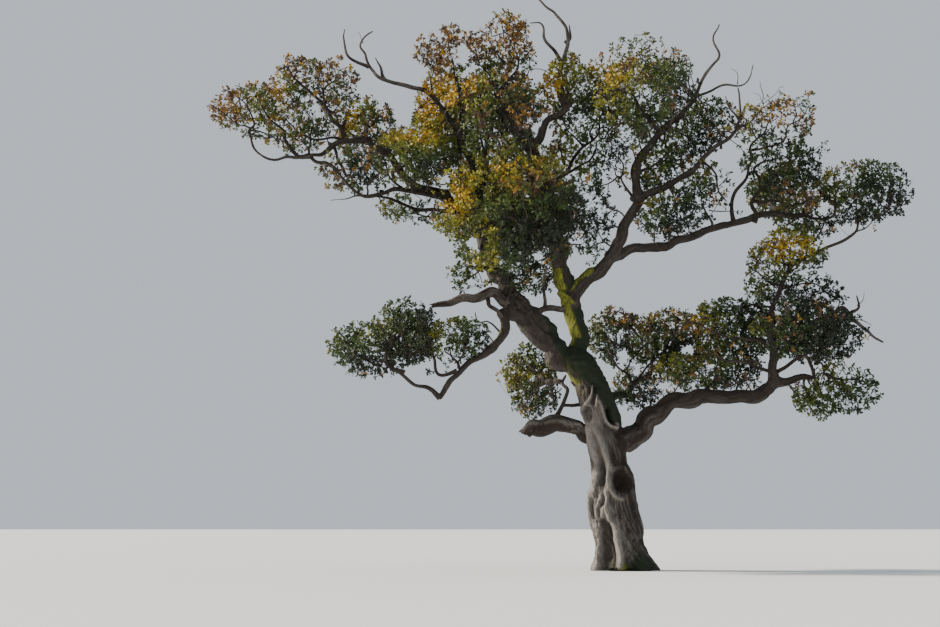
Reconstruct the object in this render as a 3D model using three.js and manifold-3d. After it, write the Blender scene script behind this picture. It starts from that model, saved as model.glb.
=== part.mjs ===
// A veteran oak in autumn: a leaning, hollowed trunk that forks into two stems, crooked boughs,
// dead antler-like snags, and masses of foliage with open sky between them.
// Millimetres, +Z up. The origin is in the flat cut under the trunk, at ground level.
// +X is to the right and +Y away from a viewer who faces the tree's broad side.
import * as THREE from "three";
import { mergeVertices } from "three/addons/utils/BufferGeometryUtils.js";
import Module from "manifold-3d";

const wasm = await Module();
wasm.setup();

// Driving dimensions. Places and radii in the tables are in metres, and METRE scales the whole tree.
const METRE = 1000;
const CLEAR = 0.35; // millimetres between a solid and the neighbour that it is cut to
const TRUNK_SIDES = 22;
const TRUNK_RINGS = 16;
const LIMB_SIDES = 6;
const SNAG_SIDES = 5;
const TWIG_SIDES = 3;
const RING_STEP = 0.95; // between the rings of a limb
const LEAF_LENGTH = 1.45; // each blade stands for a spray of leaves
const LEAF_WIDTH = 1.2;
const LEAF_THICKNESS = 0.06;
const TWIGS_FOR_SIZE = 1.12; // twigs in a lump, for each square metre of its mean radius
const SIDE_LEAVES = [0.35, 0.68]; // where a twig bears blades before its end, as shares of its length
const LUMP_FULLNESS = 1.12; // how far the blades may reach beyond the radii in the table, for ragged edges
const TWIG_RADIUS = 0.035; // at a twig's end
const TWIG_CLEARANCE = 0.05; // a twig or blade keeps this far from limbs
const SPACE_MARGIN = 0.03; // between neighbouring masses, as a share of their radii
const WAY_BACK_TOLL = 0.3; // how much a twig minds a long way back to the stem's foot
const BALL_STEP = 0.2; // between the balls that stand for wood when room is tested
const LINE_STEP = 0.15; // between the places that are tested along a line
const STEM_TRIES = 24; // ends in each lump that a mass's stem is tried with
const LEAST_STEM = 0.3; // a stem stands out of its limb by at least this
const BLADE_TRIES = 14;
const SIDE_ARM = 0.75; // a side arm of a snag beside its stem

// The tables give a place as [across, up, depth]: where it appears on the upright plane through the
// trunk's foot to an eye in front of the tree, and how far behind that plane it stands.
const EYE = new THREE.Vector3(-6, -50, 1.6);

function seen([across, up, depth = 0]) {
  const reach = 1 + depth / -EYE.y;
  const place = new THREE.Vector3(EYE.x + (across - EYE.x) * reach, depth, EYE.z + (up - EYE.z) * reach);
  return place.multiplyScalar(METRE);
}

// A repeatable number from 0 to 1 for each whole number n.
function chance(n) {
  const wave = Math.sin(n * 12.9898 + 4.1414) * 43758.5453;
  return wave - Math.floor(wave);
}

// The trunk from the ground to its fork: height, left and right edge, and half its depth.
const TRUNK_LEVELS = [
  [0, -1.45, 1.05, 1.2],
  [0.5, -1.27, 0.8, 1.0],
  [1, -1.22, 0.62, 0.92],
  [1.5, -1.35, 0.55, 0.9],
  [2, -1.55, 0.48, 0.9],
  [2.5, -1.65, 0.42, 0.88],
  [3, -1.42, 0.33, 0.85],
  [3.5, -1.33, 0.3, 0.8],
  [4, -1.3, 0.08, 0.76],
  [5, -1.47, 0, 0.72],
  [6, -1.72, -0.3, 0.7],
  [7, -1.97, -0.65, 0.66],
  [7.5, -2.3, -0.9, 0.64],
  [8, -2.78, -1.15, 0.6],
  [8.3, -2.7, -1.4, 0.4],
  [8.45, -2.4, -1.75, 0.2],
];
const BUTTRESSES = 7;
const BUTTRESS_REACH = 0.13; // how far a buttress stands out at the ground, as a share of the radius
const BUTTRESS_HEIGHT = 0.7;
const FLUTES = 5;
const FLUTE_DEPTH = 0.03;
const GRAIN_TWIST = 1.1; // radians that the flutes turn for each metre of height
const HOLLOW = { middle: [-0.25, 3.32], depth: -0.92, across: 0.34, deep: 0.42, tall: 0.44 };

// The limbs: each leaves the limb named in from, passes the places in way, and tapers from foot to tip.
const LIMBS = {
  left_stem: {
    from: "trunk", radii: [0.52, 0.36],
    way: [[-1.7, 7.2, 0], [-2.35, 7.95, 0], [-3.1, 8.7, -0.2], [-3.8, 9.5, -0.3], [-4.3, 10.25, -0.3]],
  },
  right_stem: {
    from: "trunk", radii: [0.45, 0.24],
    way: [[-1.5, 7.1, 0.1], [-1.85, 7.9, 0.1], [-1.9, 9.3, 0.1], [-2.3, 10.9, 0], [-2.55, 12.3, -0.1],
      [-2.75, 13.6, -0.2], [-3.1, 15, -0.3], [-3.7, 16.7, -0.3]],
  },
  right_low_bough: {
    from: "trunk", radii: [0.44, 0.22],
    way: [
      [-0.7, 4.7, 0], [0.3, 5.1, -0.1], [1.35, 6, -0.3], [2.4, 6.45, -0.5], [4, 6.45, -0.7],
      [5.05, 6.7, -0.8], [5.75, 7.15, -0.8],
    ],
  },
  back_low_bough: {
    from: "trunk", radii: [0.22, 0.1],
    way: [[-1, 6.2, 0.2], [0.3, 7, 2], [1.3, 7.7, 3.3]],
  },
  upper_left_bough: {
    from: "left_stem", radii: [0.33, 0.2],
    way: [[-4.1, 10, -0.3], [-4.9, 11.2, 0.1], [-5.5, 12.4, 0.4], [-6.3, 13.7, 0.6], [-7, 14.65, 0.6]],
  },
  low_left_bough: {
    from: "left_stem", radii: [0.22, 0.1],
    way: [
      [-3.9, 9.75, -0.3], [-4.75, 9.75, -0.6], [-4.6, 9.2, -0.8], [-5.1, 8.5, -1], [-6.4, 7.6, -1.4],
      [-7.2, 6.45, -1.6],
    ],
  },
  low_left_outer: {
    from: "low_left_bough", radii: [0.095, 0.05],
    way: [[-7.15, 6.5, -1.6], [-8, 7, -1.5], [-8.9, 7.6, -1.2], [-9.5, 8, -1]],
  },
  far_left_bough: {
    from: "upper_left_bough", radii: [0.18, 0.13],
    way: [[-6.9, 14.5, 0.6], [-8.5, 15.1, 0.4], [-9.3, 16.2, 0.2], [-10.2, 16.9, 0]],
  },
  far_left_outer: {
    from: "far_left_bough", radii: [0.13, 0.045],
    way: [
      [-10.1, 16.85, 0], [-11.2, 16.6, -0.2], [-12.3, 16.05, -0.3], [-13.1, 16.15, -0.4],
      [-13.7, 15.95, -0.4], [-14.5, 16.4, -0.4], [-14.75, 17, -0.35],
    ],
  },
  far_left_rise: {
    from: "far_left_outer", radii: [0.11, 0.05],
    way: [[-10.9, 16.7, -0.1], [-11.6, 17.9, 0.3], [-12.4, 18.75, 0.5], [-12.8, 19.1, 0.6]],
  },
  left_lower_bough: {
    from: "upper_left_bough", radii: [0.14, 0.055],
    way: [
      [-6.95, 14.55, 0.6], [-7.3, 14.5, 0.1], [-8.7, 14.7, -0.4], [-10.1, 14.5, -0.8], [-10.9, 15, -1.1],
      [-11.4, 15.6, -1.3],
    ],
  },
  antler_bough: {
    from: "upper_left_bough", radii: [0.2, 0.11],
    way: [[-5.45, 12.3, 0.35], [-5.6, 14.5, 0.2], [-6.1, 16.2, 0], [-6.6, 17.3, -0.1], [-7.45, 18.5, -0.2]],
  },
  top_left_arm: {
    from: "right_stem", radii: [0.17, 0.08],
    way: [[-3.65, 16.5, -0.3], [-4.3, 17.2, 0], [-4.8, 18.2, 0.4], [-5, 19.3, 0.6]],
  },
  top_right_arm: {
    from: "right_stem", radii: [0.18, 0.1],
    way: [[-3.6, 16.4, -0.3], [-2.9, 17.35, -0.6], [-2.2, 18, -0.9], [-1.9, 18.35, -1]],
  },
  right_bough: {
    from: "right_stem", radii: [0.32, 0.2],
    way: [[-2.2, 10.3, 0], [-1.45, 11.15, 0], [-0.6, 11.95, -0.2], [-0.1, 12.9, -0.3], [0.7, 14.45, -0.4]],
  },
  dome_bough: {
    from: "right_bough", radii: [0.19, 0.1],
    way: [[0.65, 14.35, -0.4], [0.65, 15.9, -0.3], [1.6, 17.05, 0], [2.7, 18.1, 0.2], [3, 18.5, 0.2]],
  },
  right_upper_bough: {
    from: "right_bough", radii: [0.16, 0.07],
    way: [[0.6, 14.25, -0.4], [1.85, 14.95, -0.7], [2.9, 15.7, -1], [4.2, 16.8, -1.2], [4.9, 17.4, -1.3]],
  },
  far_right_bough: {
    from: "right_bough", radii: [0.22, 0.11],
    way: [
      [-0.6, 11.95, -0.2], [0.2, 12.25, 0], [1.5, 12.45, 0.3], [2.7, 12.85, 0.5], [4.4, 13.45, 0.7],
      [5.7, 13.75, 0.8], [7.2, 13.7, 0.7],
    ],
  },
  right_riser: {
    from: "far_right_bough", radii: [0.1, 0.05],
    way: [[4.35, 13.4, 0.7], [4.4, 14.5, 0.5], [5, 15.4, 0.3], [5.2, 16, 0.2]],
  },
  right_low_tip: {
    from: "right_low_bough", radii: [0.19, 0.11],
    way: [[5.6, 7.05, -0.8], [6.5, 7.25, -0.8], [7.2, 7.3, -0.8]],
  },
  right_upright: {
    from: "right_low_bough", radii: [0.18, 0.09],
    way: [[5.7, 7.1, -0.8], [5.7, 8.5, -0.7], [5.8, 9.8, -0.5], [6.2, 11.1, -0.3], [6.5, 11.7, -0.2]],
  },
  right_side_arm: {
    from: "right_upright", radii: [0.1, 0.06],
    way: [[5.7, 7.9, -0.75], [6.4, 8.6, -0.8], [7.2, 9.3, -0.8], [8.1, 9.75, -0.7]],
  },
  far_right_arm: {
    from: "right_upright", radii: [0.085, 0.05],
    way: [[6.45, 11.6, -0.2], [7.35, 12.1, -0.1], [8.2, 12.5, 0], [9.05, 12.95, 0.1], [9.25, 13.4, 0.2]],
  },
  front_bough: {
    from: "right_stem", radii: [0.22, 0.1],
    way: [[-2.45, 11.7, 0], [-3.1, 12.7, -1.7], [-3.8, 13.3, -3.4]],
  },
  back_bough: {
    from: "right_stem", radii: [0.24, 0.1],
    way: [[-2.6, 12.5, -0.1], [-3.2, 13.5, 1.5], [-3.8, 14, 3]],
  },
};

// Dead wood without leaves: broken ends and forked snags. The first arm is the stem, and others leave it.
const DEAD_WOOD = {
  broken_stub: {
    from: "left_stem", radii: [0.27, 0.09],
    arms: [
      [[-4.1, 10.05, -0.3], [-5.1, 10.5, -0.5], [-5.6, 10.45, -0.6], [-6.4, 10.3, -0.8], [-7.45, 10.1, -0.9]],
    ],
  },
  broken_limb: {
    from: "trunk", radii: [0.24, 0.19],
    arms: [
      [[-0.9, 4.8, 0], [-1.6, 5.15, 0.1], [-2.7, 5.5, 0.2], [-3.4, 5.4, 0.2], [-3.8, 5.2, 0.2]],
      [[-2.6, 5.45, 0.2], [-2.7, 5.9, 0.2], [-2.35, 6.6, 0.2]],
    ],
  },
  antler_left: {
    from: "antler_bough", radii: [0.1, 0.03],
    arms: [
      [[-7.35, 18.4, -0.2], [-7.6, 18.65, -0.2], [-8.5, 19, -0.3], [-9.5, 19.3, -0.4],
        [-10.15, 19.9, -0.4], [-10.3, 20.4, -0.3], [-10.3, 20.9, -0.3], [-9.9, 21.3, -0.2]],
      [[-10.05, 19.8, -0.4], [-10.55, 20, -0.5], [-10.95, 20.3, -0.6], [-11.05, 21.4, -0.6]],
      [[-9.4, 19.25, -0.4], [-9.65, 19.7, -0.3], [-9.8, 20.2, -0.3]],
    ],
  },
  antler_top: {
    from: "top_right_arm", radii: [0.115, 0.032],
    arms: [
      [[-2.15, 18, -0.9], [-2.4, 19, -0.8], [-2.25, 20, -0.7], [-2.1, 21, -0.7], [-2.6, 22, -0.6],
        [-3.4, 22.8, -0.6]],
      [[-2.25, 19.9, -0.7], [-2.95, 21.1, -0.9], [-3.25, 21.7, -1], [-3.6, 21.65, -1]],
      [[-2.15, 20.8, -0.7], [-1.95, 21.05, -0.6], [-2, 21.6, -0.5]],
    ],
  },
  antler_right: {
    from: "dome_bough", radii: [0.08, 0.03],
    arms: [
      [[2.9, 18.35, 0.2], [3.4, 19.45, 0.1], [3.95, 20.15, 0.1], [3.75, 20.9, 0], [4.05, 21.6, 0]],
      [[2.98, 18.55, 0.2], [4.3, 19.05, 0.3], [4.95, 19.1, 0.4], [5.35, 19.9, 0.4]],
    ],
  },
  snag_right: {
    from: "right_upper_bough", radii: [0.065, 0.028],
    arms: [
      [[4.6, 17.15, -1.25], [4.8, 18.3, -1.2], [4.7, 18.95, -1.2]],
      [[4.7, 17.6, -1.25], [4.3, 18.2, -1.3], [4.2, 18.6, -1.3]],
    ],
  },
  dead_branch_right: {
    from: "right_side_arm", radii: [0.065, 0.028],
    arms: [
      [[8, 9.72, -0.7], [8.4, 10, -0.7], [8.9, 9.5, -0.6], [10, 8.65, -0.5]],
      [[8.65, 9.75, -0.65], [9.05, 10.05, -0.7], [9.05, 10.5, -0.7]],
    ],
  },
};

// The masses of foliage. A mass fills its lumps: each is an ellipsoid given as [across, up, depth] and its
// radii [across, up, depth]. Its stem leaves the limb in from, at leave: 0 is the limb's foot and 1 its tip
// (on the trunk, leave is a height). tint is its autumn colour.
const MASSES = {
  leaves_far_left: {
    tint: "russet", from: "far_left_outer", leave: 1,
    lumps: [[-14.6, 18, -0.3, 1.7, 1.05, 1.5], [-12.9, 17.3, -0.6, 1.4, 0.85, 1.2]],
  },
  leaves_left_peak: {
    tint: "russet", from: "far_left_rise", leave: 1,
    lumps: [[-12.6, 19, 0.6, 1.3, 1.2, 1.2], [-11.2, 18.5, 0, 1, 1.5, 1]],
  },
  leaves_left_crook: {
    tint: "olive", from: "far_left_bough", leave: 1,
    lumps: [[-10, 17.4, 0.2, 1.3, 1.1, 1.4], [-9.8, 16.8, 3.3, 1.6, 1.2, 1.7]],
  },
  leaves_left_lower: {
    tint: "green", from: "left_lower_bough", leave: 0.85,
    lumps: [[-10.6, 15.6, -0.9, 1.4, 0.9, 1.2], [-8.2, 14.1, -0.6, 1.3, 0.65, 1.1]],
  },
  leaves_left_gold: {
    tint: "gold", from: "antler_bough", leave: 0.62,
    lumps: [
      [-7.6, 16.4, -1, 1.7, 1.2, 1.8], [-7, 18.2, 0.2, 1.2, 1.5, 1.5], [-8.2, 16, -3.5, 1.5, 1.1, 1.5],
    ],
  },
  leaves_top_left: {
    tint: "russet", from: "antler_bough", leave: 1,
    lumps: [[-6.8, 20.4, 0.3, 1.3, 1, 1.3]],
  },
  leaves_top: {
    tint: "olive", from: "top_left_arm", leave: 0.9,
    lumps: [[-4.6, 20.4, 0.3, 1.2, 1.5, 1.4], [-4.9, 18.4, 0.4, 1.6, 1.2, 1.8]],
  },
  leaves_top_right: {
    tint: "gold", from: "top_right_arm", leave: 0.35,
    lumps: [[-1.9, 18.8, -0.6, 1.2, 1.3, 1.5], [-1.65, 16.75, -0.4, 1.3, 1.25, 1.3]],
  },
  leaves_centre: {
    tint: "gold", from: "front_bough", leave: 0.5,
    lumps: [
      [-4.2, 15.6, -2.2, 1.9, 1.4, 1.7], [-2.6, 14, -1.8, 1.9, 1.8, 1.6], [-1.4, 13.5, -0.8, 1.1, 1.6, 1.1],
    ],
  },
  leaves_centre_left: {
    tint: "green", from: "upper_left_bough", leave: 0.45,
    lumps: [
      [-6, 14.2, -1.2, 1.3, 1.4, 1.5], [-4.9, 12.3, -1.2, 1.5, 1.5, 1.7], [-6.2, 11.3, -0.8, 0.9, 0.6, 0.9],
      [-3.7, 11.3, 0.9, 1.2, 1, 1.1],
    ],
  },
  leaves_front: {
    tint: "gold", from: "front_bough", leave: 1,
    lumps: [[-4.6, 13.9, -5, 2.6, 2, 2.2], [-4.8, 17.6, -3.7, 2, 1.6, 1.7]],
  },
  leaves_back: {
    tint: "olive", from: "back_bough", leave: 1,
    lumps: [[-4.4, 14.2, 4.6, 2.6, 2.2, 2.4], [-5.2, 17.6, 3.8, 2.2, 1.8, 1.9]],
  },
  leaves_dome: {
    tint: "olive", from: "dome_bough", leave: 0.72,
    lumps: [[0.9, 18.9, 0.2, 2.1, 2, 2], [0.9, 18.6, 3.2, 1.9, 1.6, 1.8], [0.9, 18.3, -3, 1.8, 1.5, 1.6]],
  },
  leaves_dome_foot: {
    tint: "green", from: "dome_bough", leave: 0.4,
    lumps: [
      [2.4, 16.7, 0.3, 1.5, 1.1, 1.5], [3.4, 17.6, 0.4, 1.1, 0.8, 1.1], [1.5, 15.5, -0.2, 1, 0.9, 1.2],
    ],
  },
  leaves_inner_right: {
    tint: "green", from: "far_right_bough", leave: 0.32,
    lumps: [[2, 13.8, -0.2, 1.4, 1, 1.3], [3.4, 15.1, -0.8, 1, 0.8, 1]],
  },
  leaves_russet: {
    tint: "russet", from: "right_upper_bough", leave: 1,
    lumps: [[6, 17.4, -1.2, 1.7, 1.15, 1.2]],
  },
  leaves_right_rise: {
    tint: "green", from: "right_riser", leave: 1,
    lumps: [[6.1, 15.7, -0.3, 1.6, 1.2, 1.4], [6.6, 14.6, 3.6, 1.6, 1.2, 1.6]],
  },
  leaves_far_right: {
    tint: "green", from: "far_right_bough", leave: 1,
    lumps: [[9.5, 14.6, 0.4, 1.9, 1.15, 1.5], [7.2, 13.8, 0.5, 1.3, 1.1, 1.3]],
  },
  leaves_bright: {
    tint: "gold", from: "right_upright", leave: 0.85,
    lumps: [[6.4, 12.2, -0.5, 1.5, 0.9, 1.2], [5.8, 10.9, -0.4, 1.1, 1, 1.1]],
  },
  leaves_right_tuft: {
    tint: "green", from: "right_side_arm", leave: 0.6,
    lumps: [[7.6, 10.4, -0.3, 0.9, 0.9, 0.9], [7.5, 9, -0.6, 1.7, 1, 1.3], [6.8, 9.2, -3.5, 1.6, 1.1, 1.6]],
  },
  leaves_right_low: {
    tint: "olive", from: "right_low_tip", leave: 1,
    lumps: [[8, 6.7, -0.8, 1.6, 1.1, 1.3]],
  },
  leaves_flat_right: {
    tint: "olive", from: "right_low_bough", leave: 0.62,
    lumps: [[4.1, 9.1, 0.6, 1.7, 1.2, 1.6], [3.1, 7.7, 0.7, 2, 0.85, 1.5]],
  },
  leaves_flat_left: {
    tint: "green", from: "back_low_bough", leave: 0.9,
    lumps: [[1.6, 8.8, 1.6, 1.5, 1.1, 1.7], [-0.4, 8.9, 2.4, 1.1, 1.1, 1.3], [0.4, 6.9, 2, 0.9, 0.8, 1.2]],
  },
  leaves_behind: { tint: "olive", from: "trunk", leave: 6.1, lumps: [[-3.7, 7.2, 2.6, 1.3, 1.4, 1.6]] },
  leaves_low_left: {
    tint: "green", from: "low_left_outer", leave: 1,
    lumps: [[-9.9, 8.4, -1, 1.6, 1, 1.4], [-8.4, 9.2, -1.2, 1.3, 1.1, 1.3], [-8.6, 8.8, 1.6, 1.4, 1, 1.5]],
  },
  leaves_low_left_inner: {
    tint: "olive", from: "low_left_bough", leave: 0.6,
    lumps: [[-6.6, 8.9, -1.3, 1.3, 0.9, 1.2]],
  },
};

// A closed three.js geometry as a solid that can be joined and cut.
function solidOf(geometry) {
  geometry.deleteAttribute("normal");
  geometry.deleteAttribute("uv");
  const merged = mergeVertices(geometry, 1e-2);
  const corners = [...merged.index.array];
  const kept = [];
  for (let i = 0; i < corners.length; i += 3) {
    const [a, b, c] = corners.slice(i, i + 3);
    if (a !== b && b !== c && c !== a) kept.push(a, b, c);
  }
  const vertProperties = merged.attributes.position.array;
  return new wasm.Manifold(new wasm.Mesh({ numProp: 3, vertProperties, triVerts: new Uint32Array(kept) }));
}

function meshOf(name, solid, material) {
  const made = solid.getMesh();
  const geometry = new THREE.BufferGeometry();
  geometry.setAttribute("position", new THREE.BufferAttribute(new Float32Array(made.vertProperties), 3));
  geometry.setIndex(new THREE.BufferAttribute(new Uint32Array(made.triVerts), 1));
  geometry.computeVertexNormals();
  const mesh = new THREE.Mesh(geometry, material);
  mesh.name = name;
  return mesh;
}

// A cylinder bent along places: each ring has its own half width and half thickness, in millimetres.
// wide is the direction of the width where the section is flat.
function sweep(places, widths, thicknesses, sides, wide = new THREE.Vector3(0.13, 1, 0.21)) {
  const last = places.length - 1;
  const geometry = new THREE.CylinderGeometry(1, 1, 1, sides, last);
  const position = geometry.attributes.position;
  const point = new THREE.Vector3();
  let side = wide.clone();
  const frames = places.map((place, k) => {
    const along = places[Math.min(k + 1, last)].clone().sub(places[Math.max(k - 1, 0)]).normalize();
    side = side.clone().addScaledVector(along, -side.dot(along)).normalize();
    return { side, up: side.clone().cross(along) };
  });
  for (let i = 0; i < position.count; i++) {
    const k = Math.round((position.getY(i) + 0.5) * last);
    point
      .copy(places[k])
      .addScaledVector(frames[k].side, position.getX(i) * widths[k])
      .addScaledVector(frames[k].up, position.getZ(i) * thicknesses[k]);
    position.setXYZ(i, point.x, point.y, point.z);
  }
  return solidOf(geometry);
}

// The trunk's section at a height, between the two nearest levels.
function trunkLevel(z) {
  const above = Math.max(1, TRUNK_LEVELS.findIndex((level) => level[0] >= z));
  const [low, high] = [TRUNK_LEVELS[above - 1], TRUNK_LEVELS[above]];
  const between = (k) => THREE.MathUtils.mapLinear(z, low[0], high[0], low[k], high[k]);
  const [left, right, deep] = [between(1), between(2), between(3)];
  return { x: (left + right) / 2, across: (right - left) / 2, deep };
}

// The trunk is a cylinder whose rings follow its levels, with buttresses below and twisted flutes above.
function trunkSolid(grow = 0) {
  const geometry = new THREE.CylinderGeometry(1, 1, 1, TRUNK_SIDES, TRUNK_RINGS);
  const position = geometry.attributes.position;
  const top = TRUNK_LEVELS.at(-1)[0];
  for (let i = 0; i < position.count; i++) {
    const [px, py, pz] = [position.getX(i), position.getY(i), position.getZ(i)];
    const z = Math.min(top, (py + 0.5) * top);
    const radius = Math.min(1, Math.hypot(px, pz));
    const bearing = Math.atan2(-pz, px);
    const level = trunkLevel(z);
    const buttress = BUTTRESS_REACH * Math.exp(-z / BUTTRESS_HEIGHT) * Math.cos(BUTTRESSES * bearing + 1.1);
    const flute = FLUTE_DEPTH * Math.sin(FLUTES * bearing + GRAIN_TWIST * z);
    const skin = radius * (1 + buttress + flute) * METRE;
    position.setXYZ(
      i,
      level.x * METRE + Math.cos(bearing) * (level.across * skin + grow * radius),
      Math.sin(bearing) * (level.deep * skin + grow * radius),
      z * METRE + (z === top ? grow : 0),
    );
  }
  return solidOf(geometry);
}

function hollowSolid() {
  const geometry = new THREE.SphereGeometry(METRE, 12, 8);
  geometry.scale(HOLLOW.across, HOLLOW.deep, HOLLOW.tall);
  geometry.rotateY(0.35);
  const middle = seen([...HOLLOW.middle, HOLLOW.depth]);
  geometry.translate(middle.x, middle.y, middle.z);
  return solidOf(geometry);
}

const curveOf = (way) => new THREE.CatmullRomCurve3(way.map(seen), false, "centripetal");

// A limb as a bent, tapering cylinder, a little uneven as grown wood is.
function limbSolid(way, radii, grow = 0, sides = LIMB_SIDES) {
  const curve = curveOf(way);
  const count = Math.max(2, Math.round(curve.getLength() / (RING_STEP * METRE)));
  const places = curve.getSpacedPoints(count);
  const thick = places.map((place, k) => {
    const uneven = 1 + 0.08 * (chance(k * 7 + Math.round(place.x + place.z)) - 0.5);
    return THREE.MathUtils.lerp(radii[0], radii[1], (k / count) ** 0.8) * uneven * METRE + grow;
  });
  if (grow) {
    places[count].add(places[count].clone().sub(places[count - 1]).setLength(grow));
    places[0].add(places[0].clone().sub(places[1]).setLength(grow));
  }
  return sweep(places, thick, thick, sides);
}

// What later solids are cut to: every piece of wood so far, fattened by the clearance.
const fattened = { trunk: trunkSolid(CLEAR) };

// The wood as short balls, against which stems, twigs and blades are tested.
const balls = [];
function addBalls(name, curve, foot, tip) {
  const count = Math.ceil(curve.getLength() / (BALL_STEP * METRE));
  curve.getSpacedPoints(count).forEach((place, k) => {
    balls.push({ name, place, radius: THREE.MathUtils.lerp(foot, tip, k / count) * METRE });
  });
}

for (let z = 0; z < TRUNK_LEVELS.at(-1)[0] - BALL_STEP / 2; z += BALL_STEP) {
  const level = trunkLevel(z);
  const radius = Math.max(level.across, level.deep) * METRE;
  balls.push({ name: "trunk", place: seen([level.x, z, 0]), radius });
}

const spaces = Object.entries(MASSES).map(([name, mass], order) => ({
  name,
  order,
  from: mass.from,
  leave: mass.leave,
  tint: mass.tint,
  lumps: mass.lumps.map(([across, up, depth, ...reach]) => ({
    middle: seen([across, up, depth]),
    reach: new THREE.Vector3(reach[0], reach[2], reach[1]).multiplyScalar(METRE * LUMP_FULLNESS),
  })),
}));

// How far out a point lies in a lump: 0 at its middle, 1 at its skin. For a mass its nearest lump counts.
const outIn = (lump, point) => point.clone().sub(lump.middle).divide(lump.reach).length();
const outOf = (space, point) => Math.min(...space.lumps.map((lump) => outIn(lump, point)));

// A point belongs to a mass if it is inside its lumps and deeper in them than in any other mass's.
function belongs(space, point) {
  const own = outOf(space, point);
  return own <= 1 && spaces.every((other) => other === space || own + SPACE_MARGIN < outOf(other, point));
}

// Whether a ball keeps clear of all wood but its own mass's. A stem may also stay near what is by its foot.
function isClear(space, point, radius, isStem = false) {
  const byTheFoot = isStem && point.distanceTo(space.foot) < space.footRadius + 0.5 * METRE;
  return balls.every(
    ({ name, place, radius: thick }) =>
      name === space.name || byTheFoot || place.distanceTo(point) > thick + radius + TWIG_CLEARANCE * METRE,
  );
}

function isClearLine(space, a, b, radius, isStem = false) {
  const count = Math.ceil(a.distanceTo(b) / (LINE_STEP * METRE));
  for (let k = 1; k <= count; k++) {
    if (!isClear(space, a.clone().lerp(b, k / count), radius, isStem)) return false;
  }
  return true;
}

// Places spread evenly over a lump by the golden angle, between its heart and its skin.
function placesIn(lump, count, least, most, seed) {
  return Array.from({ length: count }, (_, n) => {
    const height = 1 - (2 * n + 1) / count;
    const turn = Math.PI * (3 - Math.sqrt(5)) * n + chance(seed) * 2 * Math.PI;
    const flat = Math.sqrt(1 - height * height);
    const out = THREE.MathUtils.lerp(least, most, chance(n * 31 + seed * 7));
    const way = new THREE.Vector3(flat * Math.cos(turn), flat * Math.sin(turn), height);
    return way.multiply(lump.reach).multiplyScalar(out).add(lump.middle);
  });
}

// The stem runs from its limb straight to the nearest place in its mass's space that it can reach.
function layStem(space) {
  if (space.from === "trunk") {
    const level = trunkLevel(space.leave);
    space.foot = seen([level.x, space.leave, 0]);
    space.footRadius = level.deep * METRE;
    space.stemRadius = 0.12 * METRE;
  } else {
    const { way, radii } = LIMBS[space.from];
    space.foot = curveOf(way).getPointAt(Math.min(space.leave, 0.99));
    space.footRadius = THREE.MathUtils.lerp(radii[0], radii[1], space.leave) * METRE;
    space.stemRadius = Math.min(0.1 * METRE, space.footRadius * 0.85);
  }
  const triesIn = (lump, k) => placesIn(lump, STEM_TRIES, 0.05, 0.65, space.order * 3 + k);
  const ends = space.lumps.flatMap(triesIn);
  const reached = ends.filter((end) => {
    const isFar = end.distanceTo(space.foot) > space.footRadius + LEAST_STEM * METRE;
    return isFar && belongs(space, end) && isClearLine(space, space.foot, end, space.stemRadius, true);
  });
  if (!reached.length) throw new Error(`${space.name} has no way in from ${space.from}`);
  space.stemEnd = reached.sort((a, b) => a.distanceTo(space.foot) - b.distanceTo(space.foot))[0];
  const thick = space.stemRadius / METRE;
  addBalls(space.name, new THREE.LineCurve3(space.foot, space.stemEnd), thick, thick);
}

// Joins each target to the growing twigs where the new stretch, with a toll for the way back, is least.
function growTwigs(space) {
  const stem = { place: space.foot, way: 0, children: [] };
  const fork = { place: space.stemEnd, way: 0, parent: stem, children: [] };
  stem.children.push(fork);
  const joints = [fork];
  const waiting = new Set(
    space.lumps.flatMap((lump, k) => {
      const size = Math.cbrt(lump.reach.x * lump.reach.y * lump.reach.z) / METRE;
      const count = Math.max(2, Math.round(TWIGS_FOR_SIZE * size ** 2));
      return placesIn(lump, count, 0.45, 0.75, space.order * 5 + k);
    }).filter((place) => belongs(space, place) && isClear(space, place, TWIG_RADIUS * METRE)),
  );
  while (waiting.size) {
    let best = null;
    for (const target of waiting)
      for (const joint of joints) {
        const far = joint.place.distanceTo(target);
        const cost = far + WAY_BACK_TOLL * joint.way;
        if (best && cost >= best.cost) continue;
        if (!isClearLine(space, joint.place, target, TWIG_RADIUS * METRE)) continue;
        best = { cost, joint, target, far };
      }
    if (!best) break;
    const made = { place: best.target, way: best.joint.way + best.far, parent: best.joint, children: [] };
    best.joint.children.push(made);
    joints.push(made);
    waiting.delete(best.target);
  }
  return [stem, ...joints];
}

// The tips beyond a joint, which set how thick its wood is.
const tipsBeyond = ({ children }) =>
  Math.max(1, children.reduce((sum, child) => sum + tipsBeyond(child), 0));
const twigRadius = (joint, most) => Math.min(most, TWIG_RADIUS * METRE * tipsBeyond(joint) ** 0.4);

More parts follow.
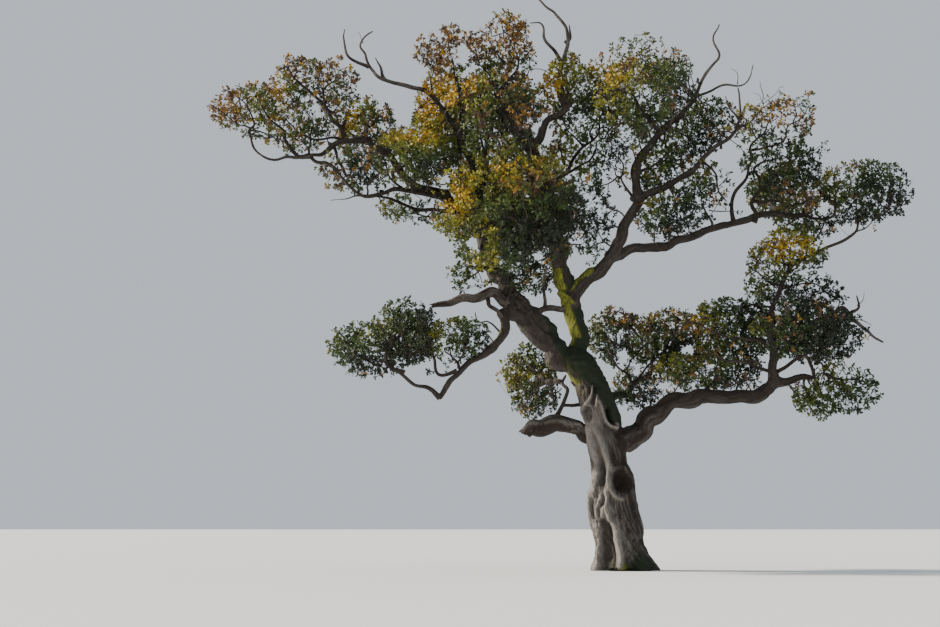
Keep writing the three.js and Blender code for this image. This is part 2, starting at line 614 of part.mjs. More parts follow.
// A blade that grows from a root towards a side, turned and shortened until it lies in its mass's space
// and clear of the wood, or null where it never does.
function bladeFrom(space, root, towards, seed) {
  for (let n = 0; n < BLADE_TRIES; n++) {
    const drift = [0, 1, 2].map((axis) => chance(seed * 97 + n * 13 + axis * 5) - 0.5);
    const way = towards.clone().addScaledVector(new THREE.Vector3(...drift), 0.4 + n * 0.16).normalize();
    const roll = new THREE.Vector3(...drift.map((_, axis) => chance(seed * 41 + n * 3 + axis) - 0.5));
    const wide = roll.addScaledVector(way, -roll.dot(way)).normalize();
    const length = LEAF_LENGTH * METRE * (1.05 - 0.045 * n);
    const half = (LEAF_WIDTH / 2) * METRE * (1.05 - 0.04 * n);
    const middle = root.clone().addScaledVector(way, length * 0.55);
    const tip = root.clone().addScaledVector(way, length);
    const edges = [1, -1].map((hand) => middle.clone().addScaledVector(wide, half * hand));
    const corners = [tip, middle, ...edges, ...edges.map((edge) => edge.clone().lerp(root, 0.5))];
    const thick = LEAF_THICKNESS * METRE;
    const fits = corners.every((corner) => belongs(space, corner) && isClear(space, corner, thick));
    if (fits && isClearLine(space, root, tip, thick)) return { root, way, wide, middle, tip, half };
  }
  return null;
}

// The blades of one twig: one at its end, and others that stand off to alternate sides of it.
function bladesOn(space, joint, seed) {
  const start = joint.parent.place;
  const along = joint.place.clone().sub(start).normalize();
  const [lump] = [...space.lumps].sort((a, b) => outIn(a, joint.place) - outIn(b, joint.place));
  const outward = joint.place.clone().sub(lump.middle).divide(lump.reach).normalize();
  const across = outward.clone().cross(along).normalize();
  const ahead = bladeFrom(space, joint.place, outward.clone().addScaledVector(along, 0.5), seed);
  const sides = SIDE_LEAVES.map((share, n) => {
    const hand = n % 2 ? -1 : 1;
    const towards = across.clone().multiplyScalar(hand);
    towards.addScaledVector(outward, 0.5).addScaledVector(along, 0.3);
    return bladeFrom(space, start.clone().lerp(joint.place, share), towards, seed + 37 * (n + 1));
  });
  return { ahead, sides: sides.filter(Boolean) };
}

// A blade of its own: an octahedron drawn out to root, tip, sides and two low ridges. Its root is sunk in
// the twig.
function sideBlade(blade) {
  const geometry = new THREE.OctahedronGeometry(1, 0);
  const up = blade.way.clone().cross(blade.wide);
  const sunk = blade.root.clone().addScaledVector(blade.way, -TWIG_RADIUS * METRE * 0.3);
  const position = geometry.attributes.position;
  for (let i = 0; i < position.count; i++) {
    const [x, y, z] = [position.getX(i), position.getY(i), position.getZ(i)];
    const end = x > 0.5 ? blade.tip : x < -0.5 ? sunk : blade.middle;
    const placed = end.clone().addScaledVector(blade.wide, y * blade.half);
    placed.addScaledVector(up, (z * LEAF_THICKNESS * METRE) / 2);
    position.setXYZ(i, placed.x, placed.y, placed.z);
  }
  return solidOf(geometry);
}

// One run of twig from joint to joint, which opens into the last blade where there is room for one.
function twigRun(run, radii, blade) {
  const places = run.map((joint) => joint.place);
  if (!blade) return sweep(places, radii, radii, TWIG_SIDES);
  const wideness = blade.half / Math.cos(Math.PI / 6);
  return sweep(
    [...places, blade.middle, blade.tip],
    [...radii, wideness, 0],
    [...radii, (LEAF_THICKNESS * METRE) / 1.5, 0],
    TWIG_SIDES,
    blade.wide,
  );
}

// A mass in one piece: runs of twig that part at the joints, with blades on every twig that has room.
function massSolid(space) {
  const joints = growTwigs(space);
  const blades = new Map();
  joints.slice(2).forEach((joint, n) => blades.set(joint, bladesOn(space, joint, space.order * 100 + n)));
  const pieces = [];
  const starts = [[joints[0], joints[1]]];
  while (starts.length) {
    const run = starts.shift();
    while (run.at(-1).children.length) {
      const [next, ...others] = [...run.at(-1).children].sort((a, b) => tipsBeyond(b) - tipsBeyond(a));
      for (const other of others) starts.push([run.at(-1), other]);
      run.push(next);
    }
    const radii = run.map((joint, k) => twigRadius(k ? joint : run[1], space.stemRadius));
    pieces.push(twigRun(run, radii, blades.get(run.at(-1))?.ahead));
  }
  for (const { sides } of blades.values()) pieces.push(...sides.map(sideBlade));
  return wasm.Manifold.union(pieces);
}

const BARK = { color: 0x6b6258, roughness: 0.95, metalness: 0 };
const DEAD = { color: 0x7f7870, roughness: 0.9, metalness: 0 };
const LEAF_TINTS = { gold: 0x8c6f1b, olive: 0x5d5d22, green: 0x3d4a22, russet: 0x6d5028 };

const tree = new THREE.Group();
tree.name = "oak";

// Cuts a solid to all the wood before it and shows what is left, which must be nearly all of it outside.
function show(name, solid, look, leastShare) {
  const cut = solid.subtract(wasm.Manifold.union(Object.values(fattened)));
  const [largest] = cut.decompose().sort((a, b) => b.volume() - a.volume());
  if (largest.volume() < leastShare * cut.volume()) throw new Error(`${name} falls apart`);
  tree.add(meshOf(name, largest, new THREE.MeshStandardMaterial(look)));
}

tree.add(meshOf("trunk", trunkSolid().subtract(hollowSolid()), new THREE.MeshStandardMaterial(BARK)));
for (const [name, { way, radii }] of Object.entries(LIMBS)) {
  show(name, limbSolid(way, radii), BARK, 0.97);
  fattened[name] = limbSolid(way, radii, CLEAR);
  addBalls(name, curveOf(way), ...radii);
}
for (const [name, { arms, radii }] of Object.entries(DEAD_WOOD)) {
  const armRadii = (k) => radii.map((radius) => radius * (k ? SIDE_ARM : 1));
  const armSolids = (grow) => arms.map((way, k) => limbSolid(way, armRadii(k), grow, SNAG_SIDES));
  show(name, wasm.Manifold.union(armSolids(0)), DEAD, 0.97);
  fattened[name] = wasm.Manifold.union(armSolids(CLEAR));
  for (const way of arms) addBalls(name, curveOf(way), ...radii);
}
for (const space of spaces) layStem(space);
for (const space of spaces) {
  show(space.name, massSolid(space), { color: LEAF_TINTS[space.tint], roughness: 0.8, metalness: 0 }, 0.9);
}

export default tree;
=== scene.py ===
# %% [markdown]
# # A veteran oak in autumn
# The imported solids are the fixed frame: they say where the trunk, each bough and each mass of foliage is.
# This script puts bark, twigs and leaves in their place, all as numpy arrays that become meshes.
# Everything is in metres, with +Z up and the origin in the cut under the trunk.

# %% Load the frame
import math

import bpy
import numpy as np
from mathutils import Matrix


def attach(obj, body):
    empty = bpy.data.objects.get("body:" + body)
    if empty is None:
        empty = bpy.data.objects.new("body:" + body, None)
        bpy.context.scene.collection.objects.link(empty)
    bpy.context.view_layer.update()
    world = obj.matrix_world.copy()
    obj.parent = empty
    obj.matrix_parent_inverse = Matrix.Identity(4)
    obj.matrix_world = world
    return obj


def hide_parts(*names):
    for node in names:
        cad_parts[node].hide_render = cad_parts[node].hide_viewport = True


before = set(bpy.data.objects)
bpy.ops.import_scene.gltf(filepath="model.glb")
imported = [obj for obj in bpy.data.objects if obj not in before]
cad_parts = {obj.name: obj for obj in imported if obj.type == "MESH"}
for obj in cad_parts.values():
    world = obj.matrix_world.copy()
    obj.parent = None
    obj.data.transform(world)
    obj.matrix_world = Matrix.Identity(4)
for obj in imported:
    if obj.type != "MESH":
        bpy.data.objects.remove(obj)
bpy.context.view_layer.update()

# %% [markdown]
# The photograph was taken from about fifty metres away, a little to the left of the trunk, with a lens
# of about 50 mm that looks up into the crown. The camera stands at the same place, because a nearer one
# would widen the boughs that reach towards it.

# %% The camera
EYE = np.array([-6.0, -50.0, 1.6])
LOOK_UP = math.radians(9.3)

camera_data = bpy.data.cameras.new("eye")
camera_data.lens = 49.98
camera_data.sensor_width = 36.0
camera_data.clip_end = 3000.0
camera = bpy.data.objects.new("eye", camera_data)
camera.location = EYE
camera.rotation_euler = (math.pi / 2 + LOOK_UP, 0.0, 0.0)
bpy.context.scene.collection.objects.link(camera)
bpy.context.scene.camera = camera

# %% [markdown]
# The tree's plan repeats the source's tables. A place is [across, up, depth]: where it appears on the
# upright plane through the trunk's foot, and how far behind that plane it stands. Writing places as the
# eye sees them makes it easy to set a bough over its image, whatever its depth.

# %% The tree's plan: trunk and limbs
# Trunk: height, left edge, right edge, half depth.
TRUNK_LEVELS = [
    [0, -1.45, 1.05, 1.2], [0.5, -1.27, 0.8, 1.0], [1, -1.22, 0.62, 0.92], [1.5, -1.35, 0.55, 0.9],
    [2, -1.55, 0.48, 0.9], [2.5, -1.65, 0.42, 0.88], [3, -1.42, 0.33, 0.85], [3.5, -1.33, 0.3, 0.8],
    [4, -1.3, 0.08, 0.76], [5, -1.47, 0, 0.72], [6, -1.72, -0.3, 0.7], [7, -1.97, -0.65, 0.66],
    [7.5, -2.3, -0.9, 0.64], [8, -2.78, -1.15, 0.6], [8.3, -2.7, -1.4, 0.4], [8.45, -2.4, -1.75, 0.2],
]
# Each limb: the places it passes, and its radii at foot and tip.
LIMBS = {
    "left_stem": ([[-1.7, 7.2, 0], [-2.35, 7.95, 0], [-3.1, 8.7, -0.2], [-3.8, 9.5, -0.3],
        [-4.3, 10.25, -0.3]], 0.52, 0.36),
    "right_stem": ([[-1.5, 7.1, 0.1], [-1.85, 7.9, 0.1], [-1.9, 9.3, 0.1], [-2.3, 10.9, 0],
        [-2.55, 12.3, -0.1], [-2.75, 13.6, -0.2], [-3.1, 15, -0.3], [-3.7, 16.7, -0.3]], 0.45, 0.24),
    "right_low_bough": ([[-0.7, 4.7, 0], [0.3, 5.1, -0.1], [1.35, 6, -0.3], [2.4, 6.45, -0.5],
        [4, 6.45, -0.7], [5.05, 6.7, -0.8], [5.75, 7.15, -0.8]], 0.44, 0.22),
    "back_low_bough": ([[-1, 6.2, 0.2], [0.3, 7, 2], [1.3, 7.7, 3.3]], 0.22, 0.1),
    "upper_left_bough": ([[-4.1, 10, -0.3], [-4.9, 11.2, 0.1], [-5.5, 12.4, 0.4], [-6.3, 13.7, 0.6],
        [-7, 14.65, 0.6]], 0.33, 0.2),
    "low_left_bough": ([[-3.9, 9.75, -0.3], [-4.75, 9.75, -0.6], [-4.6, 9.2, -0.8], [-5.1, 8.5, -1],
        [-6.4, 7.6, -1.4], [-7.2, 6.45, -1.6]], 0.22, 0.1),
    "low_left_outer": ([[-7.15, 6.5, -1.6], [-8, 7, -1.5], [-8.9, 7.6, -1.2], [-9.5, 8, -1]], 0.095, 0.05),
    "far_left_bough": ([[-6.9, 14.5, 0.6], [-8.5, 15.1, 0.4], [-9.3, 16.2, 0.2], [-10.2, 16.9, 0]], 0.18,
        0.13),
    "far_left_outer": ([[-10.1, 16.85, 0], [-11.2, 16.6, -0.2], [-12.3, 16.05, -0.3], [-13.1, 16.15, -0.4],
        [-13.7, 15.95, -0.4], [-14.5, 16.4, -0.4], [-14.75, 17, -0.35]], 0.13, 0.045),
    "far_left_rise": ([[-10.9, 16.7, -0.1], [-11.6, 17.9, 0.3], [-12.4, 18.75, 0.5], [-12.8, 19.1, 0.6]],
        0.11, 0.05),
    "left_lower_bough": ([[-6.95, 14.55, 0.6], [-7.3, 14.5, 0.1], [-8.7, 14.7, -0.4], [-10.1, 14.5, -0.8],
        [-10.9, 15, -1.1], [-11.4, 15.6, -1.3]], 0.14, 0.055),
    "antler_bough": ([[-5.45, 12.3, 0.35], [-5.6, 14.5, 0.2], [-6.1, 16.2, 0], [-6.6, 17.3, -0.1],
        [-7.45, 18.5, -0.2]], 0.2, 0.11),
    "top_left_arm": ([[-3.65, 16.5, -0.3], [-4.3, 17.2, 0], [-4.8, 18.2, 0.4], [-5, 19.3, 0.6]], 0.17, 0.08),
    "top_right_arm": ([[-3.6, 16.4, -0.3], [-2.9, 17.35, -0.6], [-2.2, 18, -0.9], [-1.9, 18.35, -1]], 0.18,
        0.1),
    "right_bough": ([[-2.2, 10.3, 0], [-1.45, 11.15, 0], [-0.6, 11.95, -0.2], [-0.1, 12.9, -0.3],
        [0.7, 14.45, -0.4]], 0.32, 0.2),
    "dome_bough": ([[0.65, 14.35, -0.4], [0.65, 15.9, -0.3], [1.6, 17.05, 0], [2.7, 18.1, 0.2],
        [3, 18.5, 0.2]], 0.19, 0.1),
    "right_upper_bough": ([[0.6, 14.25, -0.4], [1.85, 14.95, -0.7], [2.9, 15.7, -1], [4.2, 16.8, -1.2],
        [4.9, 17.4, -1.3]], 0.16, 0.07),
    "far_right_bough": ([[-0.6, 11.95, -0.2], [0.2, 12.25, 0], [1.5, 12.45, 0.3], [2.7, 12.85, 0.5],
        [4.4, 13.45, 0.7], [5.7, 13.75, 0.8], [7.2, 13.7, 0.7]], 0.22, 0.11),
    "right_riser": ([[4.35, 13.4, 0.7], [4.4, 14.5, 0.5], [5, 15.4, 0.3], [5.2, 16, 0.2]], 0.1, 0.05),
    "right_low_tip": ([[5.6, 7.05, -0.8], [6.5, 7.25, -0.8], [7.2, 7.3, -0.8]], 0.19, 0.11),
    "right_upright": ([[5.7, 7.1, -0.8], [5.7, 8.5, -0.7], [5.8, 9.8, -0.5], [6.2, 11.1, -0.3],
        [6.5, 11.7, -0.2]], 0.18, 0.09),
    "right_side_arm": ([[5.7, 7.9, -0.75], [6.4, 8.6, -0.8], [7.2, 9.3, -0.8], [8.1, 9.75, -0.7]], 0.1,
        0.06),
    "far_right_arm": ([[6.45, 11.6, -0.2], [7.35, 12.1, -0.1], [8.2, 12.5, 0], [9.05, 12.95, 0.1],
        [9.25, 13.4, 0.2]], 0.085, 0.05),
    "front_bough": ([[-2.45, 11.7, 0], [-3.1, 12.7, -1.7], [-3.8, 13.3, -3.4]], 0.22, 0.1),
    "back_bough": ([[-2.6, 12.5, -0.1], [-3.2, 13.5, 1.5], [-3.8, 14, 3]], 0.24, 0.1),
}
print("limbs in the plan:", len(LIMBS))

# %% [markdown]
# Dead limbs are planned in the same way. An old oak dies back from the top and keeps its dead antlers for
# decades, and wind leaves torn stubs, so both kinds belong to the tree's shape and not to its finish.

# %% The tree's plan: dead wood
# Dead wood: its arms, of which the first is the stem that the others fork from, and the stem's two radii.
DEAD_WOOD = {
    "broken_stub": ([[[-4.1, 10.05, -0.3], [-5.1, 10.5, -0.5], [-5.6, 10.45, -0.6], [-6.4, 10.3, -0.8],
        [-7.45, 10.1, -0.9]]], 0.27, 0.09),
    "broken_limb": ([[[-0.9, 4.8, 0], [-1.6, 5.15, 0.1], [-2.7, 5.5, 0.2], [-3.4, 5.4, 0.2],
        [-3.8, 5.2, 0.2]], [[-2.6, 5.45, 0.2], [-2.7, 5.9, 0.2], [-2.35, 6.6, 0.2]]], 0.24, 0.19),
    "antler_left": ([[[-7.35, 18.4, -0.2], [-7.6, 18.65, -0.2], [-8.5, 19, -0.3], [-9.5, 19.3, -0.4],
        [-10.15, 19.9, -0.4], [-10.3, 20.4, -0.3], [-10.3, 20.9, -0.3], [-9.9, 21.3, -0.2]],
        [[-10.05, 19.8, -0.4], [-10.55, 20, -0.5], [-10.95, 20.3, -0.6], [-11.05, 21.4, -0.6]],
        [[-9.4, 19.25, -0.4], [-9.65, 19.7, -0.3], [-9.8, 20.2, -0.3]]], 0.1, 0.03),
    "antler_top": ([[[-2.15, 18, -0.9], [-2.4, 19, -0.8], [-2.25, 20, -0.7], [-2.1, 21, -0.7],
        [-2.6, 22, -0.6], [-3.4, 22.8, -0.6]], [[-2.25, 19.9, -0.7], [-2.95, 21.1, -0.9], [-3.25, 21.7, -1],
        [-3.6, 21.65, -1]], [[-2.15, 20.8, -0.7], [-1.95, 21.05, -0.6], [-2, 21.6, -0.5]]], 0.115, 0.032),
    "antler_right": ([[[2.9, 18.35, 0.2], [3.4, 19.45, 0.1], [3.95, 20.15, 0.1], [3.75, 20.9, 0],
        [4.05, 21.6, 0]], [[2.98, 18.55, 0.2], [4.3, 19.05, 0.3], [4.95, 19.1, 0.4], [5.35, 19.9, 0.4]]],
        0.08, 0.03),
    "snag_right": ([[[4.6, 17.15, -1.25], [4.8, 18.3, -1.2], [4.7, 18.95, -1.2]], [[4.7, 17.6, -1.25],
        [4.3, 18.2, -1.3], [4.2, 18.6, -1.3]]], 0.065, 0.028),
    "dead_branch_right": ([[[8, 9.72, -0.7], [8.4, 10, -0.7], [8.9, 9.5, -0.6], [10, 8.65, -0.5]],
        [[8.65, 9.75, -0.65], [9.05, 10.05, -0.7], [9.05, 10.5, -0.7]]], 0.065, 0.028),
}
print("dead limbs in the plan:", len(DEAD_WOOD))

# %% [markdown]
# A mass is the foliage that one bough carries. It is planned as a few overlapping oval lumps, because a
# lump is quick to set over the photograph and easy to fill with twigs later.

# %% The tree's plan: masses of foliage
# Masses: the tint, and lumps as [across, up, depth, half width, half height, half depth].
MASSES = {
    "leaves_far_left": ("russet", [[-14.6, 18, -0.3, 1.7, 1.05, 1.5], [-12.9, 17.3, -0.6, 1.4, 0.85, 1.2]]),
    "leaves_left_peak": ("russet", [[-12.6, 19, 0.6, 1.3, 1.2, 1.2], [-11.2, 18.5, 0, 1, 1.5, 1]]),
    "leaves_left_crook": ("olive", [[-10, 17.4, 0.2, 1.3, 1.1, 1.4], [-9.8, 16.8, 3.3, 1.6, 1.2, 1.7]]),
    "leaves_left_lower": ("green", [[-10.6, 15.6, -0.9, 1.4, 0.9, 1.2], [-8.2, 14.1, -0.6, 1.3, 0.65, 1.1]]),
    "leaves_left_gold": ("gold", [[-7.6, 16.4, -1, 1.7, 1.2, 1.8], [-7, 18.2, 0.2, 1.2, 1.5, 1.5],
        [-8.2, 16, -3.5, 1.5, 1.1, 1.5]]),
    "leaves_top_left": ("russet", [[-6.8, 20.4, 0.3, 1.3, 1, 1.3]]),
    "leaves_top": ("olive", [[-4.6, 20.4, 0.3, 1.2, 1.5, 1.4], [-4.9, 18.4, 0.4, 1.6, 1.2, 1.8]]),
    "leaves_top_right": ("gold", [[-1.9, 18.8, -0.6, 1.2, 1.3, 1.5], [-1.65, 16.75, -0.4, 1.3, 1.25, 1.3]]),
    "leaves_centre": ("gold", [[-4.2, 15.6, -2.2, 1.9, 1.4, 1.7], [-2.6, 14, -1.8, 1.9, 1.8, 1.6],
        [-1.4, 13.5, -0.8, 1.1, 1.6, 1.1]]),
    "leaves_centre_left": ("green", [[-6, 14.2, -1.2, 1.3, 1.4, 1.5], [-4.9, 12.3, -1.2, 1.5, 1.5, 1.7],
        [-6.2, 11.3, -0.8, 0.9, 0.6, 0.9], [-3.7, 11.3, 0.9, 1.2, 1, 1.1]]),
    "leaves_front": ("gold", [[-4.6, 13.9, -5, 2.6, 2, 2.2], [-4.8, 17.6, -3.7, 2, 1.6, 1.7]]),
    "leaves_back": ("olive", [[-4.4, 14.2, 4.6, 2.6, 2.2, 2.4], [-5.2, 17.6, 3.8, 2.2, 1.8, 1.9]]),
    "leaves_dome": ("olive", [[0.9, 18.9, 0.2, 2.1, 2, 2], [0.9, 18.6, 3.2, 1.9, 1.6, 1.8],
        [0.9, 18.3, -3, 1.8, 1.5, 1.6]]),
    "leaves_dome_foot": ("green", [[2.4, 16.7, 0.3, 1.5, 1.1, 1.5], [3.4, 17.6, 0.4, 1.1, 0.8, 1.1],
        [1.5, 15.5, -0.2, 1, 0.9, 1.2]]),
    "leaves_inner_right": ("green", [[2, 13.8, -0.2, 1.4, 1, 1.3], [3.4, 15.1, -0.8, 1, 0.8, 1]]),
    "leaves_russet": ("russet", [[6, 17.4, -1.2, 1.7, 1.15, 1.2]]),
    "leaves_right_rise": ("green", [[6.1, 15.7, -0.3, 1.6, 1.2, 1.4], [6.6, 14.6, 3.6, 1.6, 1.2, 1.6]]),
    "leaves_far_right": ("green", [[9.5, 14.6, 0.4, 1.9, 1.15, 1.5], [7.2, 13.8, 0.5, 1.3, 1.1, 1.3]]),
    "leaves_bright": ("gold", [[6.4, 12.2, -0.5, 1.5, 0.9, 1.2], [5.8, 10.9, -0.4, 1.1, 1, 1.1]]),
    "leaves_right_tuft": ("green", [[7.6, 10.4, -0.3, 0.9, 0.9, 0.9], [7.5, 9, -0.6, 1.7, 1, 1.3],
        [6.8, 9.2, -3.5, 1.6, 1.1, 1.6]]),
    "leaves_right_low": ("olive", [[8, 6.7, -0.8, 1.6, 1.1, 1.3]]),
    "leaves_flat_right": ("olive", [[4.1, 9.1, 0.6, 1.7, 1.2, 1.6], [3.1, 7.7, 0.7, 2, 0.85, 1.5]]),
    "leaves_flat_left": ("green", [[1.6, 8.8, 1.6, 1.5, 1.1, 1.7], [-0.4, 8.9, 2.4, 1.1, 1.1, 1.3],
        [0.4, 6.9, 2, 0.9, 0.8, 1.2]]),
    "leaves_behind": ("olive", [[-3.7, 7.2, 2.6, 1.3, 1.4, 1.6]]),
    "leaves_low_left": ("green", [[-9.9, 8.4, -1, 1.6, 1, 1.4], [-8.4, 9.2, -1.2, 1.3, 1.1, 1.3],
        [-8.6, 8.8, 1.6, 1.4, 1, 1.5]]),
    "leaves_low_left_inner": ("olive", [[-6.6, 8.9, -1.3, 1.3, 0.9, 1.2]]),
}

# %% [markdown]
# Bark and leaves need chance that comes out the same every time. Seeded generators deal the places of
# twigs and leaves, and a smooth noise that is worked out from the place itself roughens the surfaces.

# %% Helpers: places, chance and noise
def seen(places):
    """[across, up, depth] as world places: each moves along its line of sight from the eye to its depth."""
    places = np.atleast_2d(np.asarray(places, float))
    depth = places[:, 2]
    reach = 1.0 + depth / -EYE[1]
    x = EYE[0] + (places[:, 0] - EYE[0]) * reach
    z = EYE[2] + (places[:, 1] - EYE[2]) * reach
    return np.column_stack([x, depth, z])


def as_seen(points):
    """World points as the [across, up] that the eye reads on the upright plane: seen() turned round."""
    reach = 1.0 + points[:, 1] / -EYE[1]
    across = EYE[0] + (points[:, 0] - EYE[0]) / reach
    up = EYE[2] + (points[:, 2] - EYE[2]) / reach
    return np.column_stack([across, up])


def noise(points):
    """Value noise from 0 to 1. Each whole-number corner gets the fraction of a large sine as its value,
    and the eight corners round a point are blended by 3t^2 - 2t^3 along each axis."""
    base = np.floor(points)
    t = points - base
    t = t * t * (3.0 - 2.0 * t)
    total = np.zeros(points.shape[:-1])
    for corner in np.ndindex(2, 2, 2):
        wave = np.sin((base + corner) @ np.array([127.1, 311.7, 74.7])) * 43758.5453
        weight = np.prod(np.where(corner, t, 1.0 - t), axis=-1)
        total += weight * (wave - np.floor(wave))
    return total


def unit(vectors):
    """Vectors divided by their own lengths."""
    return vectors / np.maximum(np.linalg.norm(vectors, axis=-1, keepdims=True), 1e-9)


def smooth_step(x, low, high):
    """0 below low, 1 above high, and 3t^2 - 2t^3 between them."""
    t = np.clip((x - low) / (high - low), 0.0, 1.0)
    return t * t * (3.0 - 2.0 * t)


# %% [markdown]
# A limb in the plan is a short row of places. The bough itself bends smoothly through them, with elbows
# where it once lost its leader. A Bezier curve would need handles to be set by hand, and a plain spline
# swings wide past an elbow, so a centripetal Catmull-Rom curve is used: it goes through every place, and
# makes no loop where two of them stand close together.

# %% Helper: the curve of a limb
def limb_curve(way, step):
    """Places about step apart on the centripetal Catmull-Rom curve through the way: between two places
    it is a cubic whose end slopes come from the neighbours, spaced by the square root of their distance."""
    p = seen(way)
    p = np.vstack([2 * p[0] - p[1], p, 2 * p[-1] - p[-2]])
    gap = np.sqrt(np.linalg.norm(np.diff(p, axis=0), axis=1))
    t = np.linspace(0.0, 1.0, 40, endpoint=False)[:, None]
    runs = []
    for k in range(1, len(p) - 2):
        a, b, c = gap[k - 1], gap[k], gap[k + 1]
        slope_in = ((p[k] - p[k - 1]) / a - (p[k + 1] - p[k - 1]) / (a + b) + (p[k + 1] - p[k]) / b) * b
        slope_out = ((p[k + 1] - p[k]) / b - (p[k + 2] - p[k]) / (b + c) + (p[k + 2] - p[k + 1]) / c) * b
        cubic = 2 * p[k] - 2 * p[k + 1] + slope_in + slope_out
        square = -3 * p[k] + 3 * p[k + 1] - 2 * slope_in - slope_out
        runs.append(p[k] + slope_in * t + square * t**2 + cubic * t**3)
    dense = np.vstack(runs + [p[-2:-1]])
    along = np.concatenate([[0.0], np.cumsum(np.linalg.norm(np.diff(dense, axis=0), axis=1))])
    count = max(3, round(along[-1] / step) + 1)
    even = np.linspace(0.0, along[-1], count)
    return np.column_stack([np.interp(even, along, dense[:, axis]) for axis in range(3)]), even


# %% [markdown]
# A mesh can be drawn by modifiers, built one vertex at a time, or handed over as whole arrays. A crown
# has hundreds of thousands of corners, so foreach_set copies each array in one go. Values that a material
# needs, such as the depth of a furrow, go along as attributes of the vertices.

# %% Helper: arrays into a mesh
def make_mesh(name, places, faces, materials, smooth=True, layers=None, slots=None):
    """A mesh object from arrays. faces is a list of whole-number arrays, one for each corner count, and
    layers holds one value for each vertex under a name that a material can read."""
    mesh = bpy.data.meshes.new(name)
    loops = np.concatenate([face.ravel() for face in faces])
    sizes = np.concatenate([np.full(len(face), face.shape[1]) for face in faces])
    mesh.vertices.add(len(places))
    mesh.vertices.foreach_set("co", places.astype(np.float32).ravel())
    mesh.loops.add(len(loops))
    mesh.loops.foreach_set("vertex_index", loops.astype(np.int32))
    mesh.polygons.add(len(sizes))
    mesh.polygons.foreach_set("loop_start", np.concatenate([[0], np.cumsum(sizes)[:-1]]).astype(np.int32))
    mesh.polygons.foreach_set("use_smooth", np.full(len(sizes), smooth))
    for name_of_layer, values in (layers or {}).items():
        layer = mesh.attributes.new(name_of_layer, "FLOAT", "POINT")
        layer.data.foreach_set("value", values.astype(np.float32).ravel())
    for material in materials:
        mesh.materials.append(material)
    if slots is not None:
        mesh.polygons.foreach_set("material_index", slots.astype(np.int32))
    mesh.update(calc_edges=True)
    piece = bpy.data.objects.new(name, mesh)
    bpy.context.scene.collection.objects.link(piece)
    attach(piece, "root")
    print(f"{name}: {int((sizes - 2).sum())} triangles")
    return piece


def ring_faces(rings, around, first=0):
    """The four-cornered faces between rings of vertices that close on themselves, facing outwards."""
    ring, corner = np.meshgrid(np.arange(rings - 1), np.arange(around), indexing="ij")
    here = first + ring * around + corner
    beside = first + ring * around + (corner + 1) % around
    return np.stack([here, beside, beside + around, here + around], axis=-1).reshape(-1, 4)

# %% [markdown]
# Old oak bark is grey and cut by furrows that run along the wood, wander, and twist round an old trunk.
# The finishes come first. Each bark mesh carries two values for each vertex, worked out with its shape:
# its painted shade, deepest in furrows, and how mossy it is. A shader group turns them into colour, and
# finer noise in the material adds the grain that is too small for the mesh.

# %% Helpers: shader nodes
def new_group(name, inputs, outputs):
    """An empty shader node group with the named sockets: each is (name, kind, value)."""
    group = bpy.data.node_groups.new(name, "ShaderNodeTree")
    for label, kind, value in inputs:
        socket = group.interface.new_socket(label, in_out="INPUT", socket_type=kind)
        socket.default_value = value
    for label, kind in outputs:
        group.interface.new_socket(label, in_out="OUTPUT", socket_type=kind)
    return group, group.nodes.new("NodeGroupInput"), group.nodes.new("NodeGroupOutput")


def mix_colour(tree, factor, low, high, blend="MIX"):
    """A colour between low and high. Each may be a socket or a plain colour."""
    node = tree.nodes.new("ShaderNodeMix")
    node.data_type = "RGBA"
    node.blend_type = blend
    for socket, value in ((node.inputs[0], factor), (node.inputs[6], low), (node.inputs[7], high)):
        if isinstance(value, bpy.types.NodeSocket):
            tree.links.new(value, socket)
        else:
            socket.default_value = value
    return node.outputs[2]


def ramp(tree, value, low, high):
    """A value stretched so that low becomes 0 and high becomes 1, and held there."""
    node = tree.nodes.new("ShaderNodeMapRange")
    node.inputs["From Min"].default_value = low
    node.inputs["From Max"].default_value = high
    tree.links.new(value, node.inputs["Value"])
    return node.outputs["Result"]


def texture(tree, kind, place, scale, stretch=(1.0, 1.0, 1.0), **values):
    """A noise or Voronoi texture on a place, stretched along the axes."""
    mapping = tree.nodes.new("ShaderNodeMapping")
    mapping.inputs["Scale"].default_value = stretch
    tree.links.new(place, mapping.inputs["Vector"])
    node = tree.nodes.new(kind)
    tree.links.new(mapping.outputs[0], node.inputs["Vector"])
    node.inputs["Scale"].default_value = scale
    for label, value in values.items():
        node.inputs[label].default_value = value
    return node


def rgb(code):
    """A linear colour from the usual six-letter code: each part c becomes ((c + 0.055) / 1.055) ^ 2.4."""
    parts = [int(code[k : k + 2], 16) / 255 for k in (0, 2, 4)]
    return (*[((c + 0.055) / 1.055) ** 2.4 if c > 0.04 else c / 12.92 for c in parts], 1.0)


def maths(tree, operation, first, second):
    """The sum or difference, as the operation says, of two sockets."""
    node = tree.nodes.new("ShaderNodeMath")
    node.operation = operation
    tree.links.new(first, node.inputs[0])
    tree.links.new(second, node.inputs[1])
    return node.outputs[0]


def add_bump(tree, height, strength, distance):
    """Turns a height socket into the shader's normal: the surface leans as the height rises."""
    bump = tree.nodes.new("ShaderNodeBump")
    bump.inputs["Strength"].default_value = strength
    bump.inputs["Distance"].default_value = distance
    tree.links.new(height, bump.inputs["Height"])
    tree.links.new(bump.outputs[0], tree.nodes["Principled BSDF"].inputs["Normal"])


print("shader helpers are ready")
